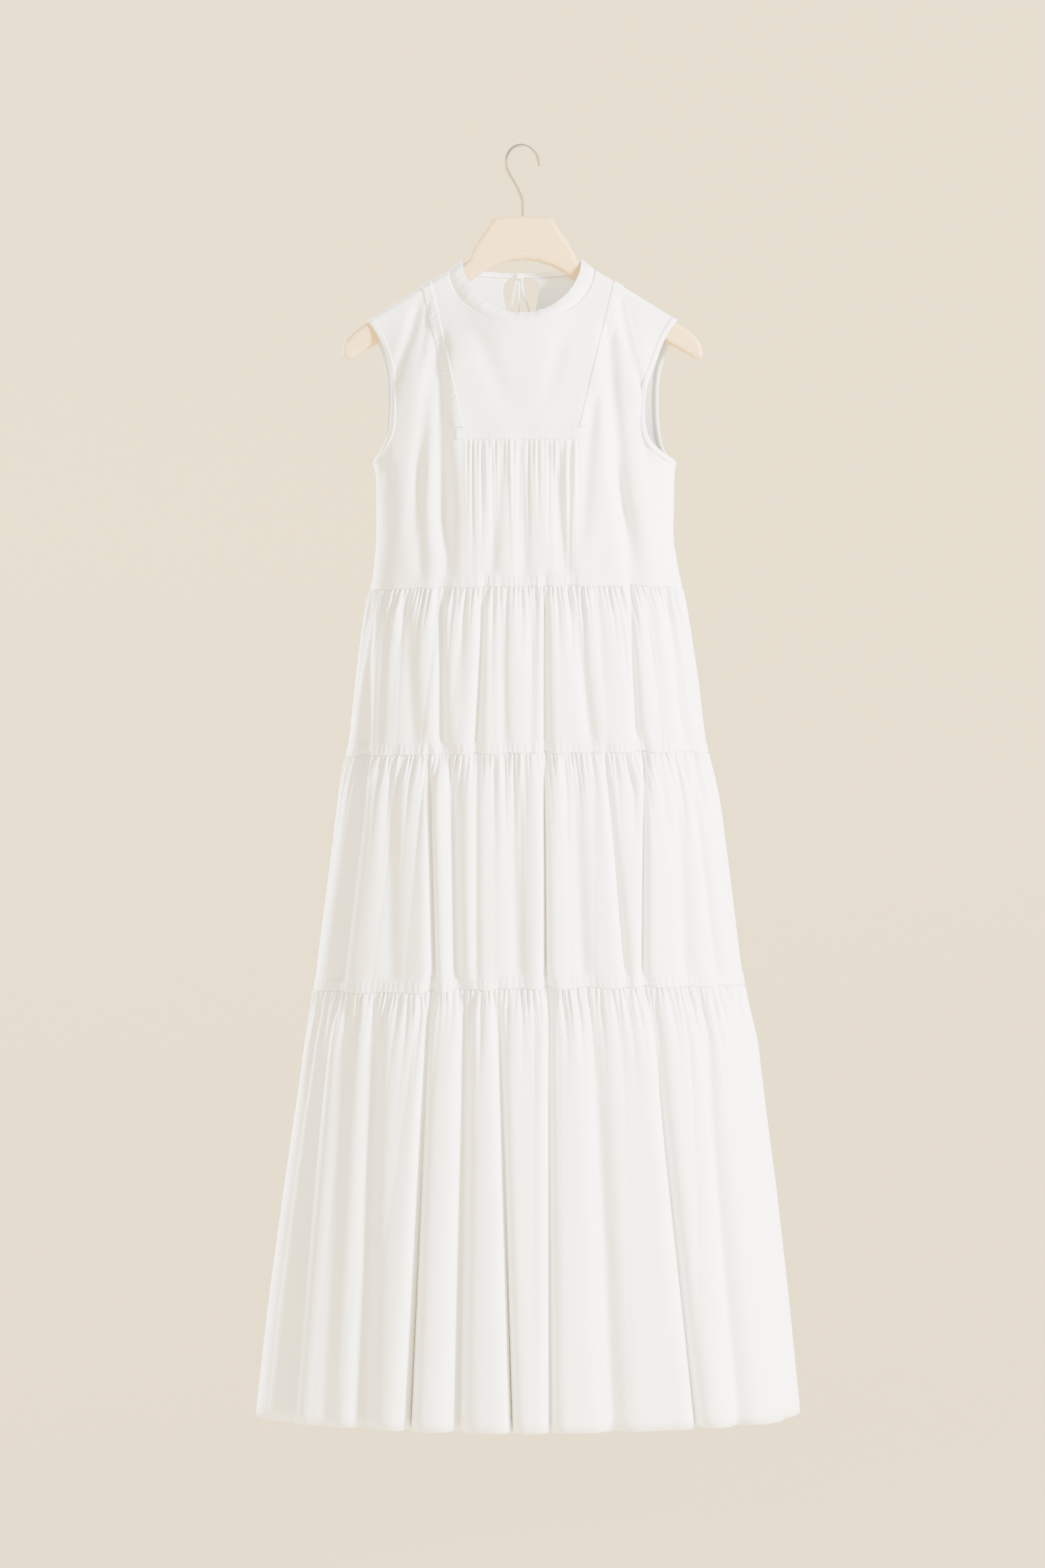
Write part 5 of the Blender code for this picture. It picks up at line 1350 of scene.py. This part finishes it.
def stitch_tree():
    """A Geometry Nodes tree that lays round dashes along the edges of a mesh."""
    tree = bpy.data.node_groups.new("stitches along a line", "GeometryNodeTree")
    for name, way, kind in (("Line", "INPUT", "Geometry"), ("Pitch", "INPUT", "Float"),
                            ("Length", "INPUT", "Float"), ("Width", "INPUT", "Float"),
                            ("Thread", "INPUT", "Material"), ("Stitches", "OUTPUT", "Geometry")):
        tree.interface.new_socket(name=name, in_out=way, socket_type="NodeSocket" + kind)
    new = tree.nodes.new
    given, result = new("NodeGroupInput"), new("NodeGroupOutput")
    curve = new("GeometryNodeMeshToCurve")
    spaced = new("GeometryNodeResampleCurve")
    spaced.mode = "LENGTH"
    dash = new("GeometryNodeMeshCylinder")
    dash.inputs["Vertices"].default_value = STITCH_SIDES
    dash.fill_type = "NGON"
    laid = new("GeometryNodeInstanceOnPoints")
    tangent = new("GeometryNodeInputTangent")
    turn = new("FunctionNodeAlignRotationToVector")
    turn.axis = "Z"
    real = new("GeometryNodeRealizeInstances")
    coat = new("GeometryNodeSetMaterial")
    half = new("ShaderNodeMath")
    half.operation = "MULTIPLY"
    half.inputs[1].default_value = 0.5
    for source, output, target, place in (
            (given, "Line", curve, "Mesh"), (curve, "Curve", spaced, "Curve"),
            (given, "Pitch", spaced, "Length"), (given, "Width", half, 0),
            (half, 0, dash, "Radius"), (given, "Length", dash, "Depth"),
            (tangent, 0, turn, "Vector"), (spaced, "Curve", laid, "Points"),
            (dash, "Mesh", laid, "Instance"), (turn, "Rotation", laid, "Rotation"),
            (laid, "Instances", real, "Geometry"), (real, "Geometry", coat, "Geometry"),
            (given, "Thread", coat, "Material"), (coat, "Geometry", result, "Stitches")):
        tree.links.new(source.outputs[output], target.inputs[place])
    return tree


def thread_material():
    """White sewing thread, a little brighter than the cloth, with its twist."""
    material, build, shader = new_material("white_thread")
    place = build.node("ShaderNodeTexCoord", output=3)
    ply = build.node("ShaderNodeTexNoise", sockets={"Vector": place, "Scale": PLY_SCALE})
    ply.mix(THREAD_DARK, THREAD_BRIGHT).into(shader, "Base Color")
    shader.inputs["Roughness"].default_value = THREAD_ROUGHNESS
    return material


points, edges = [], []
for line in stitch_lines:
    start = len(points)
    points.extend(np.asarray(line).tolist())
    edges.extend((start + step, start + step + 1) for step in range(len(line) - 1))
guide_mesh = bpy.data.meshes.new("stitch guide")
guide_mesh.from_pydata(points, edges, [])
guide = link("stitch_guide", guide_mesh)
laying = guide.modifiers.new("stitches", "NODES")
laying.node_group = stitch_tree()
wanted = {"Pitch": STITCH_PITCH, "Length": STITCH_LENGTH, "Width": STITCH_WIDTH,
          "Thread": thread_material()}
for item in laying.node_group.interface.items_tree:
    if item.in_out == "INPUT" and item.name in wanted:
        laying[item.identifier] = wanted[item.name]
bpy.context.view_layer.update()
stitch_mesh = bpy.data.meshes.new_from_object(
    guide.evaluated_get(bpy.context.evaluated_depsgraph_get()))
bpy.data.objects.remove(guide, do_unlink=True)
stitch_mesh.name = "topstitching"
stitches = link("topstitching", stitch_mesh)
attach(stitches, "root")

# The room
# The dress hangs high above a plain pale floor that curves up far away all round. A key lamp
# lights it from the front right, a wide fill from the left and a third lamp from behind.
FLOOR_HEIGHT = -3.40
FLOOR_RADIUS = 11.0
COVE_RADIUS = 4.0
COVE_STEPS = 12
WALL_HEIGHT = 9.0
ROOM_STEPS = 96
PAPER = (0.87, 0.745, 0.48, 1.0)
PAPER_GLOW = (1.0, 0.86, 0.53, 1.0)
PAPER_GLOW_STRENGTH = 1.05
PAPER_ROUGHNESS = 0.9
SURROUND = (1.0, 0.985, 0.96, 1.0)
SURROUND_STRENGTH = 0.95
# Each lamp: its name, its place, its size across, and its power.
LAMPS = (
    ("key", (3.7, -2.3, 0.6), 0.9, 1450.0),
    ("fill", (-3.4, -3.6, -0.4), 3.0, 120.0),
    ("back", (-3.3, 2.4, 0.7), 0.9, 1150.0),
)
AIM = (0.0, 0.0, -0.75)

outline = [(FLOOR_RADIUS * 0.5, FLOOR_HEIGHT), (FLOOR_RADIUS, FLOOR_HEIGHT)]
outline += [(FLOOR_RADIUS + COVE_RADIUS * math.sin(angle),
             FLOOR_HEIGHT + COVE_RADIUS * (1 - math.cos(angle)))
            for angle in np.linspace(0.0, math.pi / 2, COVE_STEPS)[1:]]
outline.append((FLOOR_RADIUS + COVE_RADIUS, FLOOR_HEIGHT + WALL_HEIGHT))
room_points = [(radius * math.cos(turn), radius * math.sin(turn), height)
               for radius, height in outline
               for turn in np.linspace(0.0, 2 * math.pi, ROOM_STEPS, endpoint=False)]
room_points.append((0.0, 0.0, FLOOR_HEIGHT))
room_faces = []
for step in range(ROOM_STEPS):
    beside = (step + 1) % ROOM_STEPS
    room_faces.append((len(room_points) - 1, step, beside))
    for low in range(0, (len(outline) - 1) * ROOM_STEPS, ROOM_STEPS):
        high = low + ROOM_STEPS
        room_faces.append((low + step, high + step, high + beside, low + beside))
room_mesh = bpy.data.meshes.new("floor")
room_mesh.from_pydata(room_points, [], room_faces)
room_mesh.shade_smooth()
floor = link("floor", room_mesh)
paper, _, paper_shader = new_material("pale_paper")
paper_shader.inputs["Base Color"].default_value = PAPER
paper_shader.inputs["Roughness"].default_value = PAPER_ROUGHNESS
paper_shader.inputs["Emission Color"].default_value = PAPER_GLOW
paper_shader.inputs["Emission Strength"].default_value = PAPER_GLOW_STRENGTH
room_mesh.materials.append(paper)

world = bpy.data.worlds.new("surround")
world.use_nodes = True
light = world.node_tree.nodes["Background"]
light.inputs["Color"].default_value = SURROUND
light.inputs["Strength"].default_value = SURROUND_STRENGTH
bpy.context.scene.world = world

for lamp_name, place, size, power in LAMPS:
    lamp_data = bpy.data.lights.new(lamp_name, "AREA")
    lamp_data.shape = "DISK"
    lamp_data.size = size
    lamp_data.energy = power
    lamp = bpy.data.objects.new(lamp_name, lamp_data)
    bpy.context.scene.collection.objects.link(lamp)
    lamp.location = place
    aim = np.array(AIM) - np.array(place)
    lamp.rotation_euler = (math.atan2(math.hypot(aim[0], aim[1]), -aim[2]), 0.0,
                           math.atan2(aim[1], aim[0]) - math.pi / 2)
